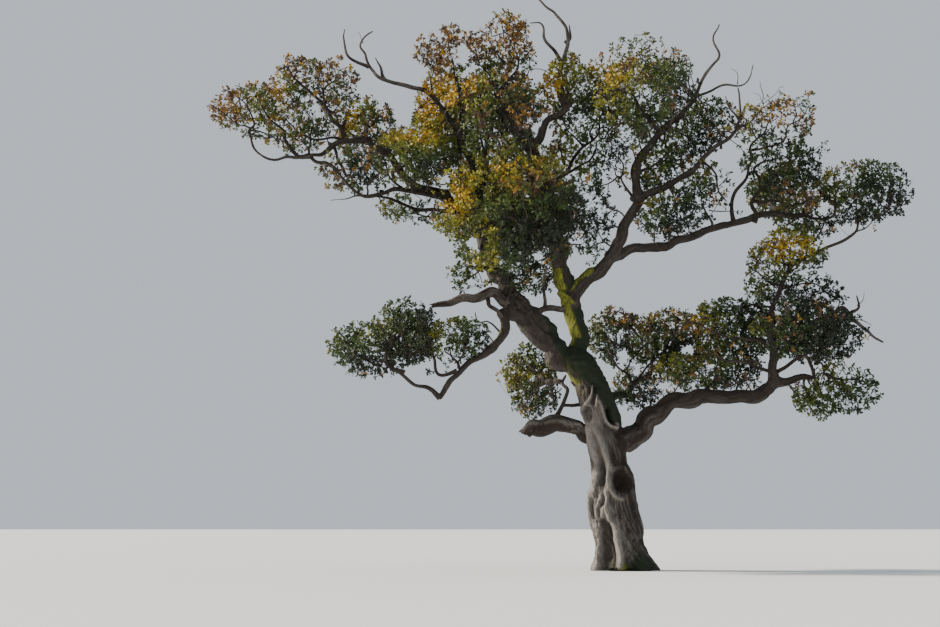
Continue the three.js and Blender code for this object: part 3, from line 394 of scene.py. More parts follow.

# %% [markdown]
# Bark on trunk, boughs and dead wood is one look with other colours, so it is made once, as a group of
# nodes. Wood high in the crown stands in shade against the sky and reads darker and browner than the grey
# foot of the trunk, so two pairs of colours blend by height, and the pair aloft is a painted shade.

# %% A shader group: bark colour from furrow depth, painted shade and highlight, and moss
def bark_group():
    """Bark from light to dark by patches of noise, darker in cracks, with painted shade in furrows and
    shaded places and on wood high up, paler where weathered bare and where a painted highlight falls, and
    mossy where moss + noise passes about one, in a green that runs from painted shade to painted sunlight.
    Height is the grain less the distance to a plate's middle."""
    colour, value = "NodeSocketColor", "NodeSocketFloat"
    inputs = [
        ("Place", "NodeSocketVector", (0.0, 0.0, 0.0)),
        ("Furrow Shade", value, 0.0),
        ("Moss", value, 0.0),
        ("Sunlit And Yellow Moss", value, 0.0),
        ("Worn And Highlit", value, 0.0),
        ("Light Bark", colour, rgb("7a7672")),
        ("Dark Bark", colour, rgb("484542")),
        ("Light Shaded Aloft", colour, rgb("4e463e")),
        ("Dark Shaded Aloft", colour, rgb("2e2823")),
        ("Shaded Moss", colour, rgb("15220f")),
        ("Sunlit Moss", colour, rgb("8c8f30")),
    ]
    group, given, out = new_group("bark_look", inputs, [("Colour", colour), ("Height", value)])
    place = given.outputs["Place"]
    patches = texture(group, "ShaderNodeTexNoise", place, 1.3, Detail=4.0, Roughness=0.6)
    grain = texture(group, "ShaderNodeTexNoise", place, 16.0, (1.0, 1.0, 0.3), Detail=6.0, Roughness=0.65)
    plates = texture(group, "ShaderNodeTexVoronoi", place, 14.0, (1.0, 1.0, 0.28), Randomness=1.0)
    split = group.nodes.new("ShaderNodeSeparateXYZ")
    group.links.new(place, split.inputs[0])
    # Painted shade: above about 5 m the bark takes the darker, browner pair of colours.
    aloft = ramp(group, split.outputs["Z"], 4.2, 6.6)
    light = mix_colour(group, aloft, given.outputs["Light Bark"], given.outputs["Light Shaded Aloft"])
    dark = mix_colour(group, aloft, given.outputs["Dark Bark"], given.outputs["Dark Shaded Aloft"])
    base = mix_colour(group, ramp(group, patches.outputs[0], 0.35, 0.65), dark, light)
    flecked = mix_colour(group, ramp(group, grain.outputs[0], 0.4, 0.75), base, light)
    cracked = mix_colour(group, ramp(group, plates.outputs[0], 0.3, 1.1), flecked, rgb("4a423b"))
    # Painted shade: furrows, grooves and shaded places take the darkest brown.
    furrowed = mix_colour(group, given.outputs["Furrow Shade"], cracked, rgb("261c15"))
    # Paler bark where weathered bare, with a painted highlight on raised ridges.
    pale = mix_colour(group, ramp(group, grain.outputs[0], 0.4, 0.7), rgb("736e68"), rgb("9c948c"))
    bared_and_highlit = mix_colour(group, ramp(group, given.outputs["Worn And Highlit"], 0.25, 1.3), furrowed, pale)
    tufts = texture(group, "ShaderNodeTexNoise", place, 7.0, Detail=5.0, Roughness=0.7)
    edge = maths(group, "ADD", given.outputs["Moss"], tufts.outputs[0])
    shaded, sunlit = given.outputs["Shaded Moss"], given.outputs["Sunlit Moss"]
    # Moss colour from painted shade to painted sunlight; the sunlit colour also serves the yellow moss at
    # the foot.
    moss_colour = mix_colour(group, given.outputs["Sunlit And Yellow Moss"], shaded, sunlit)
    moss_shade = mix_colour(group, ramp(group, grain.outputs[0], 0.3, 0.65), rgb("1f2410"), moss_colour)
    mossy = mix_colour(group, ramp(group, edge, 0.75, 1.15), bared_and_highlit, moss_shade)
    group.links.new(mossy, out.inputs["Colour"])
    height = maths(group, "SUBTRACT", grain.outputs[0], plates.outputs[0])
    group.links.new(height, out.inputs["Height"])
    return group


BARK_LOOK = bark_group()
print("bark group:", len(BARK_LOOK.nodes), "nodes")

# %% [markdown]
# Each finish places the group in a material with its own colours, and reads the values that the mesh
# carries. Trunk bark is grey, dead wood silvery and smoother, and young twigs dark brown.

# %% Bark finishes
READ_LAYERS = {"furrow_shade": "Furrow Shade", "moss": "Moss", "sunlit_and_yellow_moss": "Sunlit And Yellow Moss", "worn_and_highlit": "Worn And Highlit"}


# The two colours aloft are the painted shade of wood high in the crown.
def bark_material(name, light, dark, light_shaded_aloft="403b36", dark_shaded_aloft="25211e", relief=0.5):
    """A bark finish: the group's colour on a rough surface, with its height as a bump of millimetres."""
    material = bpy.data.materials.new(name)
    material.use_nodes = True
    tree = material.node_tree
    shader = tree.nodes["Principled BSDF"]
    look = tree.nodes.new("ShaderNodeGroup")
    look.node_tree = BARK_LOOK
    look.inputs["Light Bark"].default_value = rgb(light)
    look.inputs["Dark Bark"].default_value = rgb(dark)
    look.inputs["Light Shaded Aloft"].default_value = rgb(light_shaded_aloft)
    look.inputs["Dark Shaded Aloft"].default_value = rgb(dark_shaded_aloft)
    place = tree.nodes.new("ShaderNodeTexCoord")
    tree.links.new(place.outputs["Object"], look.inputs["Place"])
    for layer, socket in READ_LAYERS.items():
        reader = tree.nodes.new("ShaderNodeAttribute")
        reader.attribute_name = layer
        tree.links.new(reader.outputs["Fac"], look.inputs[socket])
    add_bump(tree, look.outputs["Height"], relief, 0.05)
    tree.links.new(look.outputs["Colour"], shader.inputs["Base Color"])
    shader.inputs["Roughness"].default_value = 0.92
    return material


trunk_bark = bark_material("trunk_bark", "7a7672", "484542")
dead_wood = bark_material("dead_wood", "857e76", "544d47", "6e6761", "46413c", relief=0.35)
twig_bark = bark_material("twig_bark", "443d35", "2b2621", "3c352e", "241f1b", relief=0.2)
print("finishes:", trunk_bark.name, dead_wood.name, twig_bark.name)

# %% [markdown]
# A bough is a tube that is carried along its curve. Three things make it look grown: it swells to a
# collar where it leaves its parent, it wavers a little from its curve, and its skin has furrows. The
# furrows are noise on a place that is wound round the limb, so that there is no seam, and drawn out
# along it, so that they run with the grain.

# %% Bark relief
def bark_relief(turn, along, radius, twist=0.5):
    """Height of the bark over the plain tube, and the depth of its furrows from 0 to 1, which the bark
    material also turns into painted shade. The place (cos a, sin a) times radius over 10 cm, with a = turn +
    twist times height, and height over 50 cm is looked up in noise that is folded at its middle: |2n - 1|
    marks furrows where the noise n crosses one half."""
    angle = turn + twist * along
    size = np.maximum(radius, 0.05)
    wind = np.stack([np.cos(angle) * size / 0.1, np.sin(angle) * size / 0.1, along / 0.5], axis=-1)
    wander = noise(wind * 0.35 + 7.0)[..., None] * np.array([2.2, 2.2, 0.8])
    coarse = np.abs(2.0 * noise(wind * 0.55 + wander) - 1.0)
    fine = np.abs(2.0 * noise(wind * 1.35 + wander * 1.7 + 31.0) - 1.0)
    furrow_shade = np.clip(1.0 - 2.1 * coarse, 0.0, 1.0) * 0.75 + np.clip(1.0 - 2.6 * fine, 0.0, 1.0) * 0.45
    muscle = noise(np.stack([np.cos(angle) * 1.4, np.sin(angle) * 1.4, along / 1.3], axis=-1) + 13.0) - 0.5
    depth = 0.045 * np.clip(size / 0.5, 0.12, 1.0) ** 0.8
    return size * 0.22 * muscle - depth * furrow_shade, np.clip(furrow_shade, 0.0, 1.0)


# %% [markdown]
# The tube itself is a ring of corners carried along the curve. The ring mustn't spin on its way, or the
# grain of the bark would wind up like a rope. So each ring takes its sideways direction from the ring
# before, with only the part that points along the path taken off.

# %% A tube carried along a curve
def frames_along(path):
    """Two directions across the path at each place. Each is the one before with its part along the path
    taken off, so the tube doesn't twist."""
    along = unit(np.gradient(path, axis=0))
    side = np.array([0.13, 1.0, 0.21])
    sides = []
    for direction in along:
        side = side - direction * (side @ direction)
        side = side / np.linalg.norm(side)
        sides.append(side)
    sides = np.array(sides)
    return sides, np.cross(along, sides)


def moss_on(points, outward, thick):
    """How mossy a place is: more on top of limbs and on the fork's shaded side, and none on thin wood."""
    upper = smooth_step(outward[..., 2], 0.1, 0.9)
    fork = np.exp(-((points[..., 2] - 8.6) / 2.3) ** 2) * np.exp(-((points[..., 0] + 2.3) / 1.4) ** 2)
    patch = noise(points * 0.9 + 5.0)
    return np.clip((0.35 * upper + 0.75 * fork) * (0.45 + 0.8 * patch), 0.0, 1.0) * thick


def length_along(path):
    """The length of the path up to each of its places."""
    return np.concatenate([[0.0], np.cumsum(np.linalg.norm(np.diff(path, axis=0), axis=1))])


def wavering(path, amount):
    """A path that sways from its curve by noise of about 60 cm, and by nothing at its two ends."""
    along = length_along(path)
    flat = along * 0
    here = (flat + 2.5 * path[0, 0], flat + path[0, 2])
    rows = [np.stack([along / 0.6 + 9 * k, *here], -1) for k in range(3)]
    sway = np.stack([noise(row) for row in rows], axis=-1) - 0.5
    ends = (2.5 * np.minimum(along, along[-1] - along)).clip(0.0, 1.0)
    return path + sway * amount * ends[:, None]


def tube(path, radius, around, relief=bark_relief):
    """Rings of vertices: place + (cos a * side + sin a * up) * (radius + relief), closed by a point at each
    end. Returns places, faces, the depth of the furrows as painted shade, and moss."""
    along = length_along(path)
    side, up = frames_along(path)
    turn = np.linspace(0.0, 2 * math.pi, around, endpoint=False)
    angles, heights = np.meshgrid(turn, along)
    widths = np.repeat(radius[:, None], around, axis=1)
    rise, furrow_shade = relief(angles, heights, widths)
    outward = np.cos(turn)[None, :, None] * side[:, None] + np.sin(turn)[None, :, None] * up[:, None]
    places = path[:, None] + outward * (widths + rise)[..., None]
    moss = moss_on(places, outward, smooth_step(widths, 0.08, 0.3))
    rings = len(path)
    first, last = rings * around, rings * around + 1
    corner = np.arange(around)
    beside = (corner + 1) % around
    foot = np.column_stack([beside, corner, np.full(around, first)])
    top = (rings - 1) * around
    tip = np.column_stack([top + corner, top + beside, np.full(around, last)])
    places = np.vstack([places.reshape(-1, 3), path[0], path[-1]])
    furrow_shade = np.concatenate([furrow_shade.ravel(), [0.0, 0.0]])
    moss = np.concatenate([moss.ravel(), [0.0, 0.0]])
    return places, [ring_faces(rings, around), foot, tip], furrow_shade, moss


def join(tubes):
    """Several tubes as one set of arrays: each tube's faces count on from the vertices before it."""
    places, furrow_shades, mosses, quads, triangles, start = [], [], [], [], [], 0
    for points, faces, furrow_shade, moss in tubes:
        places.append(points)
        furrow_shades.append(furrow_shade)
        mosses.append(moss)
        quads.append(faces[0] + start)
        triangles += [face + start for face in faces[1:]]
        start += len(points)
    layers = {"furrow_shade": np.concatenate(furrow_shades), "moss": np.concatenate(mosses)}
    return np.vstack(places), [np.vstack(quads), np.vstack(triangles)], layers

# %% [markdown]
# The trunk of an old hollowing oak is no cylinder. It grows unevenly over centuries, so that cords of
# sound wood stand out between sunken, dying stretches, and it rolls callus round every wound. The skin
# starts from the source's formula, and ridges and grooves that follow listed lines are added where
# the photograph shows them. Round the back, where nothing is seen, smooth noise does the same work.

# %% The trunk's own lines
# Each line as [across, up] places, then its width, and how far it rises (or sinks, if below 0).
TRUNK_LINES = {
    "lip of the hollow": ([[-0.67, 3.92], [-0.76, 3.47], [-0.68, 3.09], [-0.45, 2.8], [-0.2, 2.68]], 0.1,
        0.1),
    "lip over the hollow": ([[-0.45, 3.84], [-0.15, 3.9]], 0.06, 0.03),
    "centre cord": ([[-0.85, 2.9], [-0.83, 2.43], [-0.7, 1.87], [-0.52, 1.5], [-0.39, 1.03], [-0.34, 0.1]],
        0.16, 0.15),
    "bulge, outer": ([[-1.4, 2.85], [-1.58, 2.43], [-1.53, 1.96], [-1.36, 1.58]], 0.1, 0.07),
    "bulge, inner": ([[-1.12, 2.75], [-1.25, 2.3], [-1.18, 1.9], [-0.98, 2], [-1, 2.3]], 0.08, 0.08),
    "left cord": ([[-1.45, 5.3], [-1.3, 4.5], [-1.25, 3.6], [-1.35, 2.9]], 0.13, 0.07),
    "left toe": ([[-1.3, 1.5], [-1.2, 0.9], [-1.2, 0.35], [-1.3, 0]], 0.2, 0.14),
    "upper cord": ([[-1.3, 5.4], [-1.05, 4.9], [-0.85, 4.4], [-0.69, 3.9]], 0.15, 0.07),
    "wound's lip": ([[-1.12, 6.4], [-0.97, 6.04], [-0.83, 5.65], [-0.64, 5.4], [-0.42, 5.32]], 0.075, 0.08),
    "wound's right lip": ([[-0.55, 6.2], [-0.42, 5.8], [-0.38, 5.4]], 0.07, 0.05),
    "broken spike": ([[-1.4, 6.2], [-1.34, 6.55], [-1.3, 6.95]], 0.05, 0.2),
    "broken spike beside": ([[-1.2, 6.2], [-1.17, 6.5], [-1.12, 6.85]], 0.045, 0.17),
    "valley": ([[-1.15, 4.2], [-1.07, 3.8], [-0.98, 3.3], [-0.97, 2.9], [-0.98, 2.5]], 0.1, -0.13),
    "bulge's groove": ([[-1.44, 2.62], [-1.45, 2.24], [-1.38, 1.92]], 0.05, -0.09),
    "arch between the toes": ([[-0.98, 1.75], [-0.88, 1.3], [-0.78, 0.8], [-0.74, 0]], 0.22, -0.2),
    "cleft": ([[-0.78, 1.7], [-0.68, 1.25], [-0.6, 0.8], [-0.57, 0]], 0.09, -0.22),
    "wound": ([[-0.72, 6.05], [-0.62, 5.65]], 0.1, -0.1),
    "under the bough": ([[-0.25, 5], [-0.15, 4.5], [-0.12, 4.05]], 0.12, -0.1),
    "tear in the low bough": ([[-0.35, 5.1], [0.05, 5.4], [0.55, 5.85], [1.05, 6.25], [1.8, 6.6],
        [2.4, 6.6]], 0.17, -0.12),
    "second wound": ([[-0.75, 6.1], [-0.66, 5.75], [-0.5, 5.5]], 0.05, -0.09),
}
HOLLOW = {"middle": [-0.17, 3.3], "across": 0.45, "tall": 0.5, "lean": 0.5, "deep": 0.5}
EYE_KNOT = {"middle": [-1.45, 5.92], "across": 0.18, "tall": 0.38, "lean": 0.1, "deep": 0.1}


def on_line(spots, line, width):
    """1 on a line and 0 far from it: exp(-(d / width)^2), with d the distance to its nearest stretch."""
    line = np.array(line)
    near = np.full(spots.shape[:-1], np.inf)
    for a, b in zip(line[:-1], line[1:]):
        share = np.clip((spots - a) @ (b - a) / ((b - a) @ (b - a)), 0.0, 1.0)
        near = np.minimum(near, np.linalg.norm(spots - a - share[..., None] * (b - a), axis=-1))
    return np.exp(-((near / width) ** 2))


def out_of_oval(spots, oval):
    """0 in the middle of a leaning oval, and 1 on its edge."""
    away = spots - np.array(oval["middle"])
    lean = oval["lean"]
    across = (away[..., 0] * math.cos(lean) + away[..., 1] * math.sin(lean)) / oval["across"]
    up = (away[..., 1] * math.cos(lean) - away[..., 0] * math.sin(lean)) / oval["tall"]
    return np.hypot(across, up)


# %% [markdown]
# The plan gives the trunk's edges at a dozen heights, and between them its outline would run in straight
# stretches with a bend at each. A bell-shaped running mean rounds these off, which is quicker than
# fitting a spline and can't swing past the edges that were measured.

# %% The trunk's skin
def trunk_level(height):
    """Middle, half width and half depth at a height, with the bends of the table rounded off."""
    table = np.array(TRUNK_LEVELS, float)
    fine = np.linspace(-0.6, 9.0, 193)
    kernel = np.hanning(9)
    sections = []
    for column in (0.5 * (table[:, 1] + table[:, 2]), 0.5 * (table[:, 2] - table[:, 1]), table[:, 3]):
        values = np.interp(fine, table[:, 0], column)
        rounded = np.convolve(np.pad(values, 4, mode="edge"), kernel / kernel.sum(), mode="valid")
        sections.append(np.interp(height, fine, rounded))
    return sections


# %% [markdown]
# Where wood meets wood there is no crease: the fork and every bough's foot have grown over. So the trunk
# and the thick boughs are first made as plain overlapping tubes. One skin is laid over them all on a
# grid of a few centimetres, and softened, which rounds the crotches. The relief comes after that.

# %% Plain trunk and plain boughs
TRUNK_AROUND = 120
TRUNK_HEIGHT = TRUNK_LEVELS[-1][0]
THICK_LIMB = 0.13
LIMB_STEP = 0.07
THICK_CELL = 0.06


def plain_trunk():
    """The source's trunk on a finer grid: rings with toes and flutes, and a point that closes each end."""
    levels = np.linspace(0.0, TRUNK_HEIGHT, 150)
    bearing, height = np.meshgrid(np.linspace(0.0, 2 * math.pi, TRUNK_AROUND, endpoint=False), levels)
    middle, half_width, half_depth = trunk_level(height)
    toes = 0.13 * np.exp(-height / 0.7) * np.cos(7 * bearing + 1.1)
    flutes = 0.03 * np.sin(5 * bearing + 1.1 * height)
    swell = 1 + toes + flutes
    x = middle + np.cos(bearing) * half_width * swell
    y = np.sin(bearing) * half_depth * swell
    skin = np.stack([x, y, height], axis=-1)
    corner = np.arange(TRUNK_AROUND)
    beside = (corner + 1) % TRUNK_AROUND
    top = (len(levels) - 1) * TRUNK_AROUND
    foot = np.column_stack([beside, corner, np.full(TRUNK_AROUND, height.size)])
    crown = np.column_stack([top + corner, top + beside, np.full(TRUNK_AROUND, height.size + 1)])
    places = np.vstack([skin.reshape(-1, 3), skin[0].mean(axis=0), skin[-1].mean(axis=0)])
    nothing = np.zeros(len(places))
    return places, [ring_faces(len(levels), TRUNK_AROUND), foot, crown], nothing, nothing


def no_relief(turn, along, radius):
    """A plain tube: no height and no furrow anywhere."""
    return np.zeros_like(radius), np.zeros_like(radius)


def limb_radius(along, radii, collar=0.45, tip=0.5, taper=0.8):
    """Foot to tip by share^taper, a collar that dies away as exp(-s / 1.8 r), and a rounded tip."""
    share = along / along[-1]
    radius = radii[0] + (radii[1] - radii[0]) * share**taper
    radius = radius * (1 + collar * np.exp(-along / (1.8 * radii[0])))
    left = (along[-1] - along) / (1.6 * radii[1])
    return radius * (1 - tip * np.exp(-3 * left))


def around_for(radius, cell=0.04):
    """Corners round a limb, about a cell apart."""
    return int(max(9, round(2 * math.pi * radius / cell)))


limb_paths = {}
plain_tubes = [plain_trunk()]
thin_tubes = []
for name, (way, *radii) in LIMBS.items():
    path, along = limb_curve(way, LIMB_STEP)
    collar = -0.25 if name in ("left_stem", "right_stem") else 0.5
    radius = limb_radius(along, radii, collar)
    knobs = noise(np.stack([along / 0.55, along * 0 + path[0, 0], along * 0], axis=-1)) - 0.5
    radius *= 1 + 0.22 * knobs
    path = wavering(path, 0.9 * radii[1] + 0.2)
    limb_paths[name] = (path, radius)
    if radii[0] >= THICK_LIMB:
        plain_tubes.append(tube(path, radius, around_for(radii[0], THICK_CELL), relief=no_relief))
    else:
        thin_tubes.append(tube(path, radius, around_for(radii[0])))
print("thick limbs:", len(plain_tubes) - 1, "thin limbs:", len(thin_tubes))

# %% [markdown]
# Burrs swell the left stem on its inner side, between the two stems. Along the stem they join up to a
# knobbly ridge, so one more tube, whose radius is stirred by noise, is enough.

# %% The burrs
BURR_WAY = [[-2.2, 7.6, 0.1], [-2.55, 8.3, 0.1], [-2.95, 8.95, 0.0], [-3.45, 9.55, -0.1], [-3.8, 10.1, -0.2]]
BURR_RADII = ([0.0, 0.3, 0.6, 0.85, 1.0], [0.3, 0.36, 0.34, 0.28, 0.16])
path, along = limb_curve(BURR_WAY, LIMB_STEP)
radius = np.interp(along / along[-1], *BURR_RADII)
radius *= 0.75 + 0.5 * noise(path * 2.6)
plain_tubes.append(tube(wavering(path, 0.3), radius, around_for(0.3, THICK_CELL), relief=no_relief))
print("burrs:", round(float(along[-1]), 2), "m long")

# %% [markdown]
# Three ways lead to one skin. Boolean union keeps hard creases, and metaballs lose the sharp measured
# shapes. Blender's Remesh in its voxel mode takes overlapping closed tubes as they are, and a few rounds
# of Smooth then round the crotches as a grown collar does.

# %% One skin over them
SKIN_CELL = 0.036
SOFTENING_ROUNDS = 5


def skin_over(places, faces, cell, rounds):
    """The outer skin of overlapping closed meshes, as quads of about one cell, softened by moving each
    vertex half way to the middle of its neighbours in each round."""
    blank = make_mesh("blank", places, faces, [])
    skin = blank.modifiers.new("skin", "REMESH")
    skin.mode = "VOXEL"
    skin.voxel_size = cell
    soften = blank.modifiers.new("soften", "SMOOTH")
    soften.factor = 0.5
    soften.iterations = rounds
    made = bpy.data.meshes.new_from_object(blank.evaluated_get(bpy.context.evaluated_depsgraph_get()))
    places = np.empty(len(made.vertices) * 3)
    made.vertices.foreach_get("co", places)
    normals = np.empty(len(made.vertices) * 3)
    made.vertices.foreach_get("normal", normals)
    corners = np.empty(len(made.loops), int)
    made.loops.foreach_get("vertex_index", corners)
    bpy.data.objects.remove(blank)
    bpy.data.meshes.remove(made)
    return places.reshape(-1, 3), normals.reshape(-1, 3), corners.reshape(-1, 4)


blank_places, blank_faces, _ = join(plain_tubes)
wood, wood_normals, wood_quads = skin_over(blank_places, blank_faces, SKIN_CELL, SOFTENING_ROUNDS)
print("skin:", len(wood), "vertices", len(wood_quads), "quads")

# %% [markdown]
# Bark runs along its own limb, so each place of the new skin has to know which limb it covers, how far
# along that limb it is, and on which side. The nearest sample of a limb's middle line tells all three.
# Distance is measured in radii, so that a thick trunk keeps its skin against a thin bough beside it.

# %% Where on its limb each place of the skin lies
wood_names = ["trunk"] + [name for name, (_, foot, _) in LIMBS.items() if foot >= THICK_LIMB]
trunk_heights = np.arange(0.0, 8.2, 0.12)
trunk_middles, trunk_widths, _ = trunk_level(trunk_heights)
trunk_places = np.column_stack([trunk_middles, 0 * trunk_heights, trunk_heights])
right, back, upright = (np.tile(row, (len(trunk_heights), 1)) for row in np.eye(3))
sample_rows = [(trunk_places, trunk_heights, trunk_widths, upright, right, back)]
for name in wood_names[1:]:
    path, radius = limb_paths[name]
    side, up = frames_along(path)
    row = (path, length_along(path), radius, unit(np.gradient(path, axis=0)), side, up)
    sample_rows.append([values[::2] for values in row])
first_of = np.cumsum([0] + [len(row[0]) for row in sample_rows[:-1]])
sample_names = ("place", "along", "radius", "way", "side", "up")
samples = dict(zip(sample_names, map(np.concatenate, zip(*sample_rows))))
BLOCK = 4000


def on_limb_at(points):
    """For each point: turn round its limb, height along it, the limb's radius, which limb, and how clearly
    it is that limb's, from 0 on the border with another to 1. A limb's claim is distance over radius."""
    turn, along, radius, which, clear = (np.empty(len(points)) for _ in range(5))
    for first in range(0, len(points), BLOCK):
        block = slice(first, first + BLOCK)
        away = points[block, None] - samples["place"][None]
        claim = np.sqrt((away**2).sum(axis=2)) / samples["radius"]
        best = claim.argmin(axis=1)
        by_limb = np.sort(np.minimum.reduceat(claim, first_of, axis=1), axis=1)
        own = away[np.arange(len(best)), best]
        over, beside = ((own * samples[way][best]).sum(axis=1) for way in ("up", "side"))
        turn[block] = np.arctan2(over, beside)
        along[block] = samples["along"][best] + (own * samples["way"][best]).sum(axis=1)
        radius[block] = samples["radius"][best]
        which[block] = np.searchsorted(first_of, best, side="right") - 1
        clear[block] = smooth_step(by_limb[:, 1] - by_limb[:, 0], 0.0, 0.5)
    return turn, along, radius, which, clear


wood_turn, wood_along, wood_radius, wood_limb, wood_clear = on_limb_at(wood)
print("places of the skin on the trunk:", int((wood_limb == 0).sum()))

# %% [markdown]
# Now the skin is moved along its normals. Furrows and muscle come from noise, the cords, lips and toes
# from the listed lines, and the hollow and the healed knot from two leaning ovals. A sculpted mesh
# would do as well, but numbers can be set right against the photograph one at a time.

# %% Relief on the skin
swell, furrow_shade = bark_relief(wood_turn, wood_along + 3.7 * wood_limb, wood_radius, twist=0.25)
rise = swell * (0.35 + 0.65 * wood_clear)

trunk_middle, trunk_half, _ = trunk_level(wood[:, 2])
by_trunk = 1 - smooth_step(np.hypot(wood[:, 0] - trunk_middle, wood[:, 1]) / trunk_half, 1.35, 1.8)
by_trunk *= 1 - smooth_step(wood[:, 2], 6.9, 7.3)
on_low_bough = (wood_limb == wood_names.index("right_low_bough")) * (1 - smooth_step(wood[:, 0], 1.9, 2.3))
facing = smooth_step(-wood_normals[:, 1], -0.1, 0.4) * np.maximum(by_trunk, on_low_bough)
spots = as_seen(wood)
worn_and_highlit = np.zeros(len(wood))
warp = np.stack([noise(wood * 1.9 + 20 * k) - 0.5 for k in (1, 2)], axis=-1)
crooked = spots + 0.2 * warp
uneven = 0.6 + 0.8 * noise(wood * 1.3 + 9.0)
# Raised lines rise and turn paler: partly weathered bare wood, partly a painted highlight on the ridges.
for line, width, lift in TRUNK_LINES.values():
    near = facing * on_line(crooked, line, width)
    rise += 1.15 * lift * near * uneven
    worn_and_highlit = np.maximum(worn_and_highlit, near * uneven * smooth_step(lift, 0.0, 0.08))
folds = noise(np.stack([np.cos(wood_turn) * 2.4, np.sin(wood_turn) * 2.4, wood[:, 2] / 1.6], axis=-1))
rise += (1 - 0.8 * facing) * by_trunk * 0.3 * (np.abs(2 * folds - 1) - 0.4)
pits = noise(wood / np.array([0.14, 0.14, 0.22]) + 77.0) - 0.5
knots = np.clip(noise(wood / 0.34 + 23.0) - 0.62, 0.0, 1.0)
aloft = smooth_step(wood[:, 2], 5.5, 7.5)
rise += np.minimum(wood_radius, 0.5) * (pits * (0.1 + 0.08 * aloft) + knots * (0.15 + 0.6 * aloft))
print("bark rises by up to", round(float(rise.max()), 3), "m")

# %% [markdown]
# Two old wounds mark this trunk: a hollow whose rim has rolled inwards, and the healed eye of a lost
# bough. Both are leaning ovals. Inside an oval the wood sinks, and on its edge a ring of callus rises.

# %% The hollow and the healed knot
def blob(across, up, middle, reach):
    """A soft spot: exp(-(x / reach)^2 - (z / reach)^2), measured from its middle."""
    return np.exp(-(((across - middle[0]) / reach[0]) ** 2) - ((up - middle[1]) / reach[1]) ** 2)


torn_edge = 0.8 + 0.4 * noise(np.column_stack([spots / 0.22, 0 * spots[:, 0]]))
hollow = out_of_oval(crooked, HOLLOW) * torn_edge
knot = out_of_oval(spots, EYE_KNOT)
rise -= facing * HOLLOW["deep"] * (1 - smooth_step(hollow, 0.35, 1.05))
rise += facing * 0.12 * np.exp(-(((knot - 1) / 0.22) ** 2))
# The knot's callus ring is paler: bare wood with a painted highlight.
worn_and_highlit = np.maximum(worn_and_highlit, facing * np.exp(-(((knot - 1) / 0.25) ** 2)))
# Two pale patches on the sunny left of the trunk, by the knot and on the left toe: bare wood with a painted
# highlight.
bare_and_highlit_patch = blob(spots[:, 0], spots[:, 1], [-1.25, 5.75], [0.4, 0.75])
bare_and_highlit_patch += 0.9 * blob(spots[:, 0], spots[:, 1], [-1.27, 0.75], [0.2, 0.8])
worn_and_highlit = np.maximum(worn_and_highlit, 0.9 * facing * bare_and_highlit_patch)
rise -= facing * EYE_KNOT["deep"] * (1 - smooth_step(knot, 0.5, 0.9))
wood_skin = wood + wood_normals * rise[:, None] * np.array([1.0, 1.0, 0.6])
wood_skin[:, 2] = np.maximum(wood_skin[:, 2], 0.0)
print("skin from", wood_skin.min(axis=0).round(2), "to", wood_skin.max(axis=0).round(2))

# %% [markdown]
# The same lines and ovals also say how dark the wood is. Furrows, grooves, the arch, sunken places, the
# side that faces away from the sun and the low bough are darkened as painted shade, and the rotten hollow
# is dark brown wood with painted shade over it. Wood that weather has worn is pale, with a painted
# highlight on its ridges.

# %% Furrow depth and painted shade on the skin
shade = furrow_shade * 0.75
# Painted shade in the valley, the cleft, the wound, the bulge's groove, under the bough and in the tear, and
# a painted shadow in the arch between the toes.
for line in ("valley", "cleft", "wound", "bulge's groove", "under the bough", "tear in the low bough"):
    way, width, _ = TRUNK_LINES[line]
    shade = np.maximum(shade, facing * 0.95 * on_line(crooked, way, width * 1.15))
shade = np.maximum(shade, 0.7 * facing * on_line(crooked, *TRUNK_LINES["arch between the toes"][:2]))
inside = facing * (1 - smooth_step(hollow, 0.75, 1.05))
rotten = noise(wood * np.array([7.0, 7.0, 3.0]) + 50.0)
# The hollow is dark rotten wood, with painted shade that deepens towards its left side under the lip.
rot_and_shade = inside * (0.6 + 0.6 * rotten + 0.4 * smooth_step(-spots[:, 0], 0.1, 0.4))
shade = np.maximum(shade * (1 - 0.6 * worn_and_highlit), rot_and_shade)
# A painted shadow: a dark crescent on the left inside the healed knot's ring.
crescent_shadow = smooth_step(EYE_KNOT["middle"][0] - spots[:, 0], -0.02, 0.06)
shade = np.maximum(shade, facing * 0.9 * crescent_shadow * np.exp(-(((knot - 0.7) / 0.14) ** 2)))
# Painted shade wherever the relief sinks.
cavity_shade = smooth_step(-rise, 0.02, 0.16)
# Painted shade, in patches, on the trunk's faces that turn right, away from the sun, and on the low bough.
shaded_side = smooth_step(wood_normals[:, 0], -0.35, 0.3) * smooth_step(-wood_normals[:, 1], -0.2, 0.3)
on_bough = (wood_limb == wood_names.index("right_low_bough")) * (1 - by_trunk)
shaded_side = by_trunk * shaded_side + 0.9 * on_bough
shaded_side_patches = 0.42 * shaded_side * (0.6 + 0.6 * noise(wood * 2.3 + 3.0))
shade = np.clip(np.maximum(shade, 0.75 * cavity_shade) + shaded_side_patches, 0.0, 1.0)
print("mean shade of the skin:", round(float(shade.mean()), 3))

# %% [markdown]
# Moss grows where water stays: at the foot, on top of the limbs, in the fork, and on the side away from
# the sun. Where no sun reaches it, its dark green is a painted shade. On the right-hand stem it stands in
# full sun, and there and on the left-facing sides of the trunk it gets a painted sunlit yellow-green,
# which also colours a patch of yellow moss at the foot. Each of these places is a soft mask of height,
# side and limb, and noise breaks the sum up into cushions.

